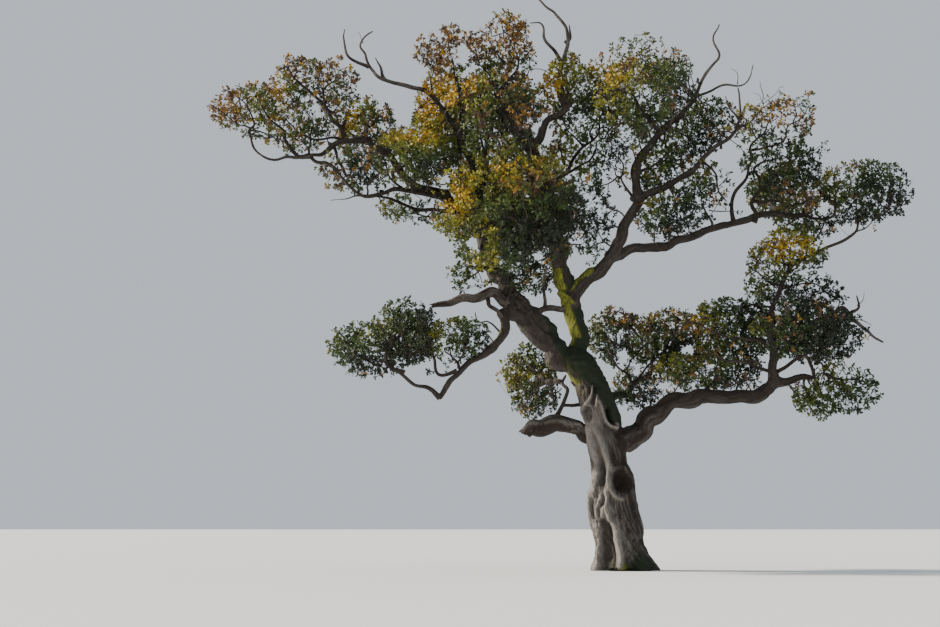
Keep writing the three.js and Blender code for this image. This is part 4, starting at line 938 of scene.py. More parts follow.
# %% Moss on the skin
across, height = spots[:, 0], wood[:, 2]
bright_foot = blob(across, height, [-0.2, 0.0], [0.15, 0.32]) * facing
mound = 1.4 * blob(across, height, [0.45, 0.0], [0.5, 0.75])
mound += 1.2 * blob(across, height, [-0.8, 0.0], [0.17, 0.42]) + 1.4 * bright_foot
mound += 0.5 * np.exp(-((height / 0.35) ** 2)) * smooth_step(wood[:, 1], 0.0, 0.4)
upper = smooth_step(wood_normals[:, 2], 0.1, 0.9) * smooth_step(height, 4.0, 7.0)
moss_line = np.interp(wood[:, 0], [-4.5, -3.0, -2.4, -1.6, -1.0, -0.6], [11.5, 9.0, 7.5, 6.65, 6.0, 5.3])
fork = smooth_step(height - moss_line + 1.1 * warp[:, 0], -0.1, 0.6)
fork *= 1 - smooth_step(height, 8.6, 10.5)
fork *= 1 - smooth_step(wood[:, 0], 0.1, 0.5)
# Painted sunlight: the sun-facing side of the right-hand stem gets the sunlit moss colour.
sunny = smooth_step(height, 8.0, 8.6) * (1 - smooth_step(height, 11.4, 13.0))
stem_wood = [wood_names.index(name) for name in ("right_stem", "right_bough")]
sunny *= smooth_step(-wood_normals[:, 0], -0.1, 0.35) * np.isin(wood_limb, stem_wood) * (wood[:, 0] < -1.2)
# Painted sunlight on the left-facing sides of the trunk and stems.
sunlit_edge_moss = smooth_step(height, 5.9, 6.8) * (1 - smooth_step(height, 9.5, 10.5))
sunlit_edge_moss *= smooth_step(-wood_normals[:, 0], 0.3, 0.8) * (1 - smooth_step(wood[:, 0], 0.1, 0.5))
patches = noise(wood * 1.1 + 5.0)
clumps = noise(wood * 3.1 + 15.0)
# Painted shade: moss in the dark shaded colour on the right-hand stem's side away from the sun.
behind_sun = (wood_limb == wood_names.index("right_stem")) * smooth_step(wood_normals[:, 0], -0.2, 0.3)
behind_sun *= 1 - smooth_step(height, 10.5, 13.0)
moss = mound + 0.35 * upper + 1.6 * fork + 1.1 * sunny + 0.3 * sunlit_edge_moss + 0.8 * behind_sun
moss = np.clip(moss * (0.15 + 0.75 * patches + 0.6 * clumps), 0.0, 1.0)
# Painted sunlight on the sunlit moss, and the yellow moss at the foot.
sunlit_and_yellow_moss = np.clip(1.2 * sunny + 0.8 * sunlit_edge_moss + bright_foot, 0.0, 1.0)
print("share of the skin under moss:", round(float((moss > 0.5).mean()), 3))

# %% [markdown]
# The skin is too large for one piece, so it is cut in two at a height. A cut would show as a line in the
# light, because each half would work out its own normals along it. So the normals are worked out once for
# the whole skin, and both halves keep them.

# %% The skin in two pieces
SKIN_CUT = 9.0


def normals_of(places, quads):
    """Vertex normals: each quad's cross product of diagonals, summed at its corners and made unit."""
    across = np.cross(places[quads[:, 2]] - places[quads[:, 0]], places[quads[:, 3]] - places[quads[:, 1]])
    sums = [np.bincount(quads.ravel(), np.repeat(across[:, axis], 4), len(places)) for axis in range(3)]
    return unit(np.column_stack(sums))


skin_normals = normals_of(wood_skin, wood_quads)
above = wood_skin[wood_quads, 2].mean(axis=1) > SKIN_CUT
halves = {"bark_of_trunk": ~above, "bark_of_boughs": above}
skin_layers = {"furrow_shade": shade, "moss": moss, "sunlit_and_yellow_moss": sunlit_and_yellow_moss, "worn_and_highlit": worn_and_highlit}
for name, chosen in halves.items():
    used, quads = np.unique(wood_quads[chosen], return_inverse=True)
    layers = {label: values[used] for label, values in skin_layers.items()}
    piece = make_mesh(name, wood_skin[used], [quads.reshape(-1, 4)], [trunk_bark], layers=layers)
    piece.data.normals_split_custom_set_from_vertices(skin_normals[used])
    owned = wood_names[:1] if name == "bark_of_trunk" else wood_names[1:]
    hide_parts(*owned)

# %% [markdown]
# The thinnest boughs are finer than the grid of the skin and would break up in it. They stay tubes, whose
# feet start inside the thick wood, so that no gap shows.

# %% Thin boughs
thin_places, thin_faces, thin_layers = join(thin_tubes)
thin_piece = make_mesh("thin_boughs", thin_places, thin_faces, [trunk_bark], layers=thin_layers)
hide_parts(*[name for name in LIMBS if name not in wood_names])

# %% [markdown]
# Dead wood loses its bark and its fine twigs, and stands out of the crown as pale antlers. It is made as
# the boughs are, without furrows as deep, and a broken end is ragged: its last rings are pulled out into
# splinters.

# %% Dead wood
def splinter(built, path, around, length):
    """Pulls the last two rings of a tube out along it by noise round the turn, as torn fibres stand out."""
    places, faces, furrow_shade, moss = built
    along = unit(path[-1] - path[-3])
    turn = np.linspace(0.0, 2 * math.pi, around, endpoint=False)
    teeth = noise(np.stack([np.cos(turn) * 2.7, np.sin(turn) * 2.7, turn * 0 + length * 9], -1)) ** 1.5
    end = len(places) - 2
    places[end - around : end] += along * (teeth * length)[:, None]
    places[end - 2 * around : end - around] += along * (teeth * length * 0.45)[:, None]
    places[-1] -= along * 0.1 * length
    return places, faces, furrow_shade, moss


SMALL_DEAD = {
    "stub_far_left": ([[-10.3, 14.5, -0.8], [-10.9, 14.4, -0.9], [-11.5, 14.3, -1]], 0.045, 0.012),
    "limb_left": ([[-6.9, 13.95, 0.5], [-7.6, 13.7, 0.2], [-8.5, 14.05, 0]], 0.06, 0.02),
    "loop_left": ([[-5.35, 10.45, -0.6], [-5.2, 10.15, -0.9], [-4.95, 9.95, -1], [-4.75, 9.6, -0.9]], 0.09,
        0.08),
    "twig_left": ([[-4.75, 9, -0.8], [-5.35, 9.4, -0.9], [-5.75, 9.45, -1], [-5.8, 9.85, -1]], 0.05, 0.018),
    "bridge": ([[-3.6, 9.7, -0.3], [-3, 10.05, -0.2], [-2.2, 9.9, 0]], 0.13, 0.12),
    "riser_middle": ([[-3.1, 9.95, -0.2], [-3.15, 10.8, -0.4], [-3, 11.7, -0.6]], 0.08, 0.04),
    "riser_right": ([[3.5, 13.05, 0.6], [3.45, 13.4, 0.5], [3.25, 13.8, 0.4], [3.15, 14.2, 0.3]], 0.07,
        0.035),
    "snag_middle": ([[3.95, 16.4, -1.1], [3.9, 17.1, -1.1], [3.6, 17.7, -1.1], [3.45, 18.3, -1]], 0.055,
        0.02),
    "antler_fork": ([[-10.3, 20.8, -0.3], [-10.35, 21, -0.3], [-10.5, 21.3, -0.3]], 0.022, 0.01),
    "antler_right_twig": ([[4.7, 19.08, 0.35], [4.72, 19.4, 0.3], [4.45, 19.75, 0.3]], 0.026, 0.012),
    "branch_right_twig": ([[9.05, 10.1, -0.7], [9.3, 10.3, -0.7], [9.35, 10.65, -0.7]], 0.028, 0.012),
    "branch_right_hook": ([[8.9, 9.55, -0.6], [9.35, 9.5, -0.55], [9.6, 9.3, -0.5]], 0.03, 0.014),
}
# Broken boughs: how far the splinters stand out, how dark the torn wood and the painted shade under it are,
# and the radius along the bough.
BROKEN = {
    "broken_stub": {"torn": 0.2, "dark": 0.35, "girth": ([0.0, 0.1, 0.3, 0.6, 0.85, 1.0],
        [0.33, 0.25, 0.21, 0.19, 0.14, 0.09])},
    "broken_limb": {"torn": 0.4, "dark": 1.0, "girth": ([0.0, 0.15, 0.35, 0.6, 0.85, 1.0],
        [0.34, 0.24, 0.26, 0.35, 0.34, 0.24])},
}


def torn_shade(places, path, dark):
    """Dark torn wood with painted shade, most on the underside and towards the end of a torn bough: a soft
    step of how low the place is below the middle, plus how far out, plus noise in streaks."""
    nearest = np.linalg.norm(places[:, None] - path[None, ::4], axis=2).argmin(axis=1) * 4
    low = path[nearest, 2] - places[:, 2]
    streaks = noise(places * np.array([1.5, 6.0, 9.0]))
    return dark * smooth_step(low / 0.25 + 0.8 * nearest / len(path) + 1.4 * streaks, 0.7, 1.5)


dead = []
for name, (arms, *thickness) in DEAD_WOOD.items():
    arms = arms[:1] if name == "broken_limb" else arms
    for k, way in enumerate(arms):
        girth = (0.75 if k else 1.0) * (1.5 if name == "dead_branch_right" else 1.0)
        radii = [radius * girth for radius in thickness]
        path, along = limb_curve(way, 0.05)
        around = around_for(radii[0])
        radius = limb_radius(along, radii, 0.35, 0.4, taper=1.3)
        if name in BROKEN:
            around, share = 36, along / along[-1]
            radius = np.interp(share, *BROKEN[name]["girth"]) * (1 + 0.25 * (noise(path * 3.1) - 0.5))
        built = tube(wavering(path, 0.3), radius, around)
        if name in BROKEN:
            built = splinter(built, path, around, BROKEN[name]["torn"])
            built[2][:] = np.maximum(built[2], torn_shade(built[0], path, BROKEN[name]["dark"]))
        dead.append(built)
for way, foot, tip in SMALL_DEAD.values():
    path, along = limb_curve(way, 0.06)
    dead.append(tube(wavering(path, 0.2), limb_radius(along, [foot, tip], 0.4, 0.4), around_for(foot)))

dead_places, dead_faces, dead_layers = join(dead)
dead_piece = make_mesh("dead_wood_limbs", dead_places, dead_faces, [dead_wood], layers=dead_layers)
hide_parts(*DEAD_WOOD)

# %% [markdown]
# Between the leaves the photograph shows dark, crooked limbs that carry the foliage. They are too thin
# and too many for the source, so they are placed here: each as [across, down] in pixels of the
# photograph and a depth in metres, starting on the bough that bears it. The line of sight through a
# pixel meets the upright plane in one place, and from there the depth sets it as for the boughs.

# %% Limbs inside the crown: way, radius at foot and tip
INNER_LIMBS = {
    "left_peak": ([[301, 84, 0.6], [293, 78, 0.6], [288, 69, 0.7], [282, 64, 0.7]], 0.05, 0.015),
    "left_peak_fork": ([[293, 78, 0.6], [296, 71, 0.5], [293, 63, 0.5], [293, 56, 0.5]], 0.03, 0.01),
    "left_middle_riser": ([[330, 112, 0.3], [322, 101, 0.3], [322, 92, 0.2], [328, 84, 0.2], [333, 77, 0.2],
        [333, 69, 0.3], [328, 62, 0.3]], 0.06, 0.012),
    "left_middle_fork": ([[333, 77, 0.2], [341, 74, 0], [348, 73, 0]], 0.025, 0.01),
    "left_middle_back": ([[328, 84, 0.2], [322, 77, 0.4], [314, 73, 0.5]], 0.022, 0.01),
    "left_shelf": ([[345, 139, 0], [327, 140, 0.2], [312, 138, 0.3], [300, 133, 0.4], [290, 125, 0.4],
        [283, 116, 0.5]], 0.055, 0.02),
    "left_climb": ([[309, 156, -0.2], [300, 154, -0.3], [293, 148, -0.3], [289, 141, -0.2],
        [284, 133, -0.1], [276, 123, 0], [266, 111, 0.1], [259, 100, 0.1]], 0.085, 0.02),
    "left_stand": ([[311, 156, -0.2], [309, 147, -0.1], [311, 138, 0], [313, 128, 0.2], [309, 117, 0.3],
        [303, 105, 0.3]], 0.04, 0.015),
    "far_left_tip": ([[249, 134, -0.35], [251, 124, -0.3], [249, 113, -0.2], [244, 104, -0.1],
        [238, 97, -0.1]], 0.05, 0.015),
    "far_left_spray": ([[250, 128, -0.3], [241, 124, -0.5], [232, 120, -0.6], [222, 113, -0.6],
        [216, 109, -0.6]], 0.032, 0.012),
    "far_left_link": ([[250, 131, -0.35], [258, 130, -0.2], [266, 132, -0.1], [274, 138, 0]], 0.03, 0.02),
    "far_left_link_low": ([[250, 134, -0.35], [262, 135, -0.4], [271, 136, -0.4], [280, 142, -0.4]], 0.028,
        0.015),
    "left_link": ([[311, 157, -0.2], [318, 160, -0.5], [329, 162, -0.9], [336, 170, -1.2]], 0.06, 0.055),
    "left_drop": ([[334, 147, -0.1], [338, 157, -0.3], [342, 166, -0.6], [347, 177, -0.9]], 0.055, 0.045),
    "left_under": ([[456, 212, 0.5], [445, 212, 0.4], [430, 208, 0.3], [415, 208, 0.2], [403, 204, 0],
        [390, 199, -0.2], [376, 196, -0.4]], 0.085, 0.035),
    "left_under_stub": ([[436, 209, 0.3], [426, 214, 0.3], [411, 217, 0.2]], 0.03, 0.012),
    "left_gold_limb": ([[402, 188, -0.1], [393, 180, -0.1], [388, 170, 0], [385, 160, 0.1],
        [378, 150, 0.1]], 0.045, 0.015),
    "middle_riser": ([[480, 193, 0.1], [484, 176, -0.1], [485, 160, -0.3], [482, 148, -0.3],
        [480, 136, -0.2]], 0.1, 0.03),
    "top_left_riser": ([[433, 96, -0.2], [431, 84, -0.2], [433, 73, -0.1], [432, 62, 0], [431, 53, 0.1]],
        0.035, 0.01),
    "top_left_loop": ([[457, 127, -0.1], [460, 110, 0], [458, 95, 0], [455, 80, 0], [455, 66, 0],
        [452, 54, 0.1], [445, 44, 0.1]], 0.055, 0.01),
    "top_middle_riser": ([[495, 84, 0.6], [487, 72, 0.6], [478, 62, 0.5], [476, 52, 0.4], [471, 42, 0.4]],
        0.045, 0.01),
    "top_right_riser": ([[497, 92, 0.6], [505, 80, 0.4], [515, 68, 0.3], [517, 57, 0.3], [512, 47, 0.3],
        [509, 38, 0.3], [502, 28, 0.3]], 0.055, 0.01),
    "top_right_twig": ([[516, 62, 0.3], [508, 56, 0.2], [498, 61, 0.2], [489, 60, 0.2]], 0.022, 0.01),
    "top_right_fork": ([[517, 60, 0.3], [524, 54, 0.3], [531, 50, 0.4]], 0.022, 0.01),
    "centre_main": ([[543, 190, -0.1], [555, 182, 0.3], [565, 173, 0.5], [569, 163, 0.6], [577, 153, 0.6],
        [583, 146, 0.6], [592, 139, 0.6], [598, 130, 0.6], [601, 118, 0.6], [607, 107, 0.6]], 0.1, 0.02),
    "centre_outer": ([[567, 173, 0.5], [578, 167, 0.7], [589, 159, 0.8], [595, 150, 0.8], [597, 141, 0.8],
        [605, 136, 0.8], [609, 127, 0.8]], 0.055, 0.015),
    "centre_inner": ([[567, 166, 0.6], [560, 158, 0.4], [557, 149, 0.3], [558, 140, 0.3], [562, 131, 0.3],
        [570, 123, 0.3]], 0.05, 0.015),
    "centre_fork": ([[583, 146, 0.6], [575, 138, 0.5], [569, 131, 0.5], [565, 122, 0.5]], 0.045, 0.015),
    "centre_top": ([[592, 139, 0.6], [590, 129, 0.7], [596, 120, 0.7], [604, 115, 0.8], [611, 105, 0.8]],
        0.04, 0.012),
    "window_left": ([[598, 130, 0.6], [606, 127, 0.5], [613, 131, 0.4], [619, 125, 0.3], [621, 117, 0.3]],
        0.035, 0.012),
    "window_low": ([[634, 199, -0.2], [627, 188, -0.3], [622, 177, -0.4], [624, 165, -0.4],
        [618, 153, -0.4], [620, 141, -0.3]], 0.05, 0.012),
    "window_side": ([[641, 165, -0.3], [633, 158, -0.5], [628, 148, -0.6], [620, 144, -0.6],
        [612, 146, -0.5]], 0.04, 0.012),
    "window_cross": ([[622, 177, -0.4], [614, 172, -0.3], [609, 163, -0.2], [602, 160, -0.1]], 0.03, 0.012),
    "low_bough_rise_left": ([[668, 404, -0.4], [670, 395, -0.3], [677, 387, -0.1], [680, 378, 0.1]], 0.045,
        0.015),
    "low_bough_rise_middle": ([[700, 398, -0.6], [703, 390, -0.5], [712, 383, -0.4], [716, 374, -0.3]],
        0.045, 0.015),
    "low_bough_rise_right": ([[736, 397, -0.7], [738, 388, -0.7], [747, 382, -0.6], [757, 379, -0.6]],
        0.045, 0.015),
    "dome_side": ([[661, 132, 0], [651, 121, -0.2], [642, 114, -0.3], [635, 105, -0.4], [630, 97, -0.4],
        [621, 92, -0.4], [610, 91, -0.3]], 0.075, 0.02),
    "dome_twig": ([[636, 105, -0.4], [640, 95, -0.5], [637, 86, -0.5], [634, 77, -0.5]], 0.03, 0.01),
    "dome_left": ([[644, 152, -0.2], [638, 143, -0.4], [632, 133, -0.5], [633, 121, -0.5]], 0.035, 0.012),
    "dome_cross": ([[640, 172, -0.3], [652, 164, -0.5], [664, 156, -0.7], [674, 149, -0.8],
        [685, 143, -0.8]], 0.055, 0.015),
    "right_hanging": ([[703, 162, -1], [710, 168, -1.1], [716, 177, -1.2], [718, 186, -1.2],
        [720, 195, -1.1], [727, 202, -1]], 0.045, 0.02),
    "right_hanging_left": ([[716, 177, -1.2], [709, 176, -1.3], [702, 178, -1.3]], 0.02, 0.01),
    "right_hanging_side": ([[719, 186, -1.2], [725, 182, -1.3], [728, 176, -1.3]], 0.02, 0.01),
    "riser_left_twig": ([[704, 204, 0.35], [697, 206, 0.2], [690, 205, 0.1]], 0.022, 0.012),
    "riser_right_twig": ([[709, 210, 0.4], [718, 213, 0.2], [727, 213, 0.1], [734, 211, 0.3]], 0.024, 0.016),
    "rise_top": ([[753, 160, 0.2], [751, 149, 0.2], [755, 139, 0.2], [762, 131, 0.1], [770, 124, 0.1],
        [778, 117, 0.1]], 0.055, 0.015),
    "rise_long": ([[751, 150, 0.2], [764, 147, 0], [776, 143, -0.1], [784, 136, -0.2], [789, 126, -0.3],
        [797, 118, -0.3], [805, 112, -0.3], [810, 103, -0.3], [808, 95, -0.3]], 0.045, 0.012),
    "rise_long_twig": ([[804, 113, -0.3], [800, 104, -0.4], [796, 97, -0.4]], 0.018, 0.008),
    "rise_bare": ([[771, 124, 0.1], [763, 105, 0], [764, 96, 0], [759, 88, 0.1], [760, 80, 0.1]], 0.024,
        0.008),
    "rise_bare_right": ([[763, 104, 0], [772, 97, -0.1], [778, 89, -0.1], [784, 86, -0.1]], 0.017, 0.008),
    "rise_bare_left": ([[763, 104, 0], [757, 97, 0.1], [751, 92, 0.1]], 0.015, 0.008),
    "riser_far": ([[754, 222, 0.75], [757, 213, 0.6], [753, 204, 0.5], [754, 196, 0.5], [760, 188, 0.4],
        [760, 177, 0.3], [757, 168, 0.2], [764, 163, 0.2], [775, 160, 0.2]], 0.09, 0.03),
    "far_shelf": ([[755, 201, 0.5], [765, 203, 0.3], [773, 201, 0.2], [780, 203, 0.2], [785, 208, 0.2],
        [795, 205, 0.2], [806, 202, 0.3], [815, 195, 0.3]], 0.055, 0.02),
    "far_shelf_top": ([[755, 197, 0.5], [764, 196, 0.6], [774, 197, 0.6]], 0.032, 0.015),
    "far_low": ([[803, 215, 0.7], [817, 218, 0.6], [829, 217, 0.6], [836, 208, 0.5], [838, 196, 0.4],
        [841, 185, 0.3]], 0.065, 0.02),
    "far_hanging": ([[829, 217, 0.6], [822, 228, 0.5], [817, 237, 0.4], [811, 245, 0.3]], 0.03, 0.018),
    "far_tip_up": ([[858, 224, 0.2], [859, 213, 0.2], [857, 203, 0.3], [859, 191, 0.3]], 0.04, 0.015),
    "far_tip_right": ([[854, 233, 0.1], [864, 227, 0], [874, 220, -0.1], [884, 214, -0.1],
        [893, 204, -0.1]], 0.032, 0.012),
    "rise_right": ([[768, 161, 0.2], [785, 160, 0], [797, 156, -0.1], [808, 156, -0.2], [816, 149, -0.2],
        [823, 145, -0.2]], 0.028, 0.01),
    "upright_left": ([[781, 285, -0.3], [770, 283, -0.4], [762, 277, -0.5], [753, 270, -0.5]], 0.045, 0.015),
    "upright_right": ([[779, 290, -0.3], [792, 286, -0.2], [806, 284, -0.1], [822, 288, -0.1]], 0.045,
        0.015),
    "flat_arm": ([[773, 350, -0.75], [757, 341, -0.8], [742, 337, -0.8], [722, 333, -0.8], [702, 327, -0.8],
        [686, 320, -0.7]], 0.075, 0.02),
    "flat_low_arm": ([[773, 373, -0.8], [757, 366, -0.9], [740, 362, -0.9], [722, 357, -0.9],
        [705, 349, -0.9]], 0.065, 0.02),
    "low_arch": ([[774, 374, -0.8], [785, 366, -0.8], [797, 359, -0.8], [808, 358, -0.8], [814, 365, -0.8],
        [814, 377, -0.8]], 0.07, 0.05),
    "low_arch_outer": ([[814, 364, -0.8], [821, 362, -0.9], [823, 371, -0.9], [821, 381, -0.9]], 0.045,
        0.02),
    "behind_riser": ([[553, 421, 0.2], [557, 411, 0.2], [562, 402, 0.2], [566, 392, 0.2], [563, 384, 0.3],
        [566, 375, 0.4]], 0.09, 0.04),
    "behind_cross": ([[586, 406, 0.3], [573, 404, 0.25], [561, 406, 0.2]], 0.065, 0.05),
    "foot_fan": ([[634, 386, 1.9], [622, 372, 1.5], [611, 358, 1.2], [603, 350, 1], [595, 354, 0.9]], 0.055,
        0.02),
    "foot_fan_up": ([[611, 358, 1.2], [613, 347, 1.1], [618, 337, 1.1]], 0.032, 0.012),
    "foot_fan_right": ([[634, 385, 2], [645, 368, 1.7], [655, 356, 1.5], [668, 344, 1.4]], 0.055, 0.015),
    "foot_fan_middle": ([[622, 372, 1.5], [634, 361, 1.4], [642, 350, 1.4], [641, 339, 1.3]], 0.035, 0.012),
    "low_left_loop": ([[457, 371, -1.5], [447, 374, -1.5], [437, 371, -1.4], [433, 362, -1.3],
        [431, 351, -1.2], [429, 340, -1.1]], 0.07, 0.03),
    "low_left_bridge": ([[431, 352, -1.2], [420, 352, -1.1], [411, 354, -1], [405, 349, -1],
        [402, 341, -1]], 0.042, 0.02),
    "low_left_fork": ([[459, 368, -1.5], [456, 361, -1.4], [452, 354, -1.3], [449, 346, -1.2]], 0.05, 0.02),
    "low_left_fork_right": ([[457, 363, -1.4], [462, 357, -1.5], [466, 349, -1.6], [468, 340, -1.6]], 0.036,
        0.015),
    "low_left_onward": ([[404, 373, -1.3], [394, 369, -1.2], [388, 359, -1.1], [390, 346, -1],
        [396, 334, -1]], 0.08, 0.03),
    "low_left_tip": ([[382, 366, -1], [371, 362, -1], [361, 357, -0.9], [350, 352, -0.9]], 0.045, 0.015),
}
SIGHT_PER_PIXEL = camera_data.sensor_width / camera_data.lens / 940


def on_photo(way):
    """[pixel across, pixel down, depth] as [across, up, depth]: the line of sight turned up by the camera's
    pitch, followed until it meets the upright plane through the origin."""
    way = np.array(way, float)
    right = (way[:, 0] - 470.0) * SIGHT_PER_PIXEL
    high = (313.5 - way[:, 1]) * SIGHT_PER_PIXEL
    ahead = math.cos(LOOK_UP) - high * math.sin(LOOK_UP)
    rise = math.sin(LOOK_UP) + high * math.cos(LOOK_UP)
    reach = -EYE[1] / ahead
    return np.column_stack([EYE[0] + reach * right, EYE[2] + reach * rise, way[:, 2]])


inner = []
for name, (way, foot, tip) in INNER_LIMBS.items():
    path, along = limb_curve(on_photo(way), 0.09)
    path = wavering(path, 0.3)
    radius = limb_radius(along, [1.2 * foot, 1.35 * tip], 0.4, 0.4)
    limb_paths[name] = (path, radius)
    inner.append(tube(path, radius, around_for(foot, 0.055)))
inner_places, inner_faces, inner_layers = join(inner)
inner_piece = make_mesh("inner_limbs", inner_places, inner_faces, [twig_bark], layers=inner_layers)
print("inner limbs:", len(INNER_LIMBS))

# %% [markdown]
# ## Twigs
# A crown fills its space by growing towards light that nothing else has taken. The source grows its few
# twigs by a rule: of all the places still without a twig, the next to be joined is the one where the new
# stretch, with a toll for the way back to the limb, is least. The same rule runs here twice. First come
# strong twigs about a metre apart, and then fine ones to thousands of places, each of which bears a spray
# of leaves. The toll keeps ways short, so twigs fan out instead of running in chains.

# %% [markdown]
# Each mass of foliage in the solids is one or more oval lumps. The lumps are written again here, a
# little fuller, because the solids' blades are coarse and real sprays fill the space right up to its edge.

# %% The masses as lumps
FULLNESS = 1.12
lump_rows = []
for order, (_, lumps) in enumerate(MASSES.values()):
    for across, up, depth, wide, tall, deep in lumps:
        lump_rows.append([*seen([across, up, depth])[0], wide, deep, tall, order])
lump_rows = np.array(lump_rows)
lump_middles = lump_rows[:, :3]
lump_reaches = lump_rows[:, 3:6] * FULLNESS
lump_mass = lump_rows[:, 6].astype(int)
print("masses:", len(MASSES), "lumps:", len(lump_rows))


def nearest_lump(points):
    """For each point the lump that it is deepest in, and how far out it lies: 0 in the middle, 1 on the
    skin. It is the length of (point - middle) / reach."""
    best = np.full(len(points), np.inf)
    which = np.zeros(len(points), int)
    for k, (middle, reach) in enumerate(zip(lump_middles, lump_reaches)):
        out = np.linalg.norm((points - middle) / reach, axis=1)
        nearer = out < best
        best[nearer] = out[nearer]
        which[nearer] = k
    return which, best


# %% [markdown]
# Where sprays may grow is decided before anything grows. Random places fill the lumps, and those where
# the photograph shows open sky are taken out. Small gaps come from noise with soft edges, because a crown
# has no clean holes.

# %% Places that a twig should reach
# Open sky in the crown, as [across, up, half width, half height] seen from the eye.
SKY_GAPS = np.array([
    [0.15, 16.9, 0.3, 0.6], [4.25, 15.2, 0.65, 1.0], [-8.7, 17.85, 0.35, 0.6], [-6.45, 20.3, 0.5, 0.5],
    [-5.7, 12.6, 0.5, 0.35], [-2.9, 16.9, 0.4, 0.35], [-3.3, 12.05, 0.3, 0.25], [2.4, 8.3, 0.35, 0.2],
    [-0.1, 8.1, 0.3, 0.25], [7.9, 14.0, 0.35, 0.3], [-12.2, 17.9, 0.3, 0.3], [-7.1, 15.2, 0.3, 0.25],
])


def in_sky(points):
    """Whether the eye sees a place inside one of the gaps, whose edges are ragged by noise."""
    spots = as_seen(points)
    away = (spots[:, None] - SKY_GAPS[None, :, :2]) / SKY_GAPS[None, :, 2:]
    ragged = 0.55 + 0.8 * noise(np.column_stack([spots / 0.45, points[:, 1] / 1.5]))
    return (np.linalg.norm(away, axis=2) < ragged[:, None]).any(axis=1)


def fill_lumps(density, least, seed):
    """Random places in all lumps, density for each cubic metre, from the share least of the reach out. The
    cube root of an even chance fills a ball evenly."""
    chance = np.random.default_rng(seed)
    found = []
    for k, (middle, reach) in enumerate(zip(lump_middles, lump_reaches)):
        count = int(density * 4 / 3 * math.pi * reach.prod())
        out = (least**3 + (1 - least**3) * chance.random(count)) ** (1 / 3)
        places = middle + unit(chance.normal(size=(count, 3))) * out[:, None] * reach
        which, _ = nearest_lump(places)
        found.append(places[which == k])
    return np.vstack(found)


def thin_out(points, spacing):
    """Drops places until no two lie in the same cell of a grid with this spacing."""
    _, keep = np.unique(np.floor(points / spacing), axis=0, return_index=True)
    return points[np.sort(keep)]


# %% [markdown]
# The rule is greedy, like the shortest-path search that it comes from: at each turn the cheapest waiting
# place joins the wood and becomes a place to grow from. Only the choice of the next place is a Python
# loop. What each new place offers to all the others is worked out as whole arrays.

# %% The rule of growth
def grow(start_places, start_ways, targets, toll):
    """Joins every target to the growing wood where distance + toll x way back is least. Returns each
    target's parent (an index into the starts followed by the targets), its way back, and the order."""
    starts = len(start_places)
    places = np.vstack([start_places, targets])
    ways = np.concatenate([start_ways, np.zeros(len(targets))])
    cost = np.full(len(targets), np.inf)
    parent = np.zeros(len(targets), int)
    for first in range(0, starts, 200):
        block = slice(first, first + 200)
        gap = np.linalg.norm(targets[:, None] - start_places[None, block], axis=2)
        total = gap + toll * start_ways[None, block]
        nearest = total.argmin(axis=1)
        value = total[np.arange(len(targets)), nearest]
        better = value < cost
        cost[better] = value[better]
        parent[better] = nearest[better] + first
    waiting = np.ones(len(targets), bool)
    order = []
    for _ in range(len(targets)):
        new = int(np.argmin(np.where(waiting, cost, np.inf)))
        way_back = ways[parent[new]] + np.linalg.norm(targets[new] - places[parent[new]])
        ways[starts + new] = way_back
        waiting[new] = False
        order.append(new)
        total = np.sqrt(((targets - targets[new]) ** 2).sum(axis=1)) + toll * way_back
        better = waiting & (total < cost)
        cost[better] = total[better]
        parent[better] = new + starts
    return parent, ways[starts:], np.array(order)


# %% [markdown]
# Two passes cost far less than one, and look better: a few strong twigs carry the crown's frame, and the
# fine ones only have to find the nearest of them. Twigs may start anywhere on the outer part of a limb.

# %% Strong twigs
STRONG_DENSITY = 2.2
STRONG_SPACING = 0.75
STRONG_TOLL = 0.28
limb_starts = []
limb_widths = []
for name, (path, radius) in limb_paths.items():
    if name == "left_stem":
        continue
    skipped = int(len(path) * (0.45 if name in ("right_stem", "right_low_bough") else 0.2))
    limb_starts.append(path[skipped::5])
    limb_widths.append(radius[skipped::5])
trunk_start = seen([[-1.6, 6.4, 0.3], [-0.9, 6.0, 0.4]])
limb_starts = np.vstack(limb_starts + [trunk_start])
limb_widths = np.append(np.concatenate(limb_widths), [0.1, 0.1])

strong_targets = thin_out(fill_lumps(STRONG_DENSITY, 0.3, 11), STRONG_SPACING)
strong_targets = strong_targets[~in_sky(strong_targets)]
no_way = np.zeros(len(limb_starts))
strong_parent, strong_ways, strong_order = grow(limb_starts, no_way, strong_targets, STRONG_TOLL)
print("strong twigs:", len(strong_targets))

# %% [markdown]
# How densely sprays stand differs from mass to mass, and within a mass they stand in clumps. So a place
# is kept where a noise of clumps is high enough, with a level that each mass shifts a little. More sprays
# are set along the inner limbs, which would look like bare wires without them.

# %% Places for fine twigs
# How open each mass is beside the others: less than 0 is fuller.
OPENNESS = {
    "leaves_dome": 0.095, "leaves_top": -0.02, "leaves_top_left": -0.02, "leaves_right_rise": -0.02,
    "leaves_russet": 0.05, "leaves_top_right": -0.04, "leaves_flat_right": -0.22, "leaves_flat_left": -0.18,
    "leaves_bright": -0.15, "leaves_right_tuft": -0.1, "leaves_far_right": -0.05,
    "leaves_low_left_inner": -0.07, "leaves_low_left": -0.07, "leaves_dome_foot": -0.1,
    "leaves_inner_right": -0.13, "leaves_far_left": -0.07, "leaves_left_peak": -0.05,
    "leaves_left_lower": -0.04, "leaves_left_gold": -0.1, "leaves_behind": -0.14, "leaves_right_low": -0.06,
    "leaves_left_crook": 0.03, "leaves_front": 0.03, "leaves_centre": 0.03,
}
FULL_EDGES = ["leaves_flat_right", "leaves_flat_left", "leaves_right_tuft", "leaves_inner_right"]
FARTHEST_RIGHT = 11.4
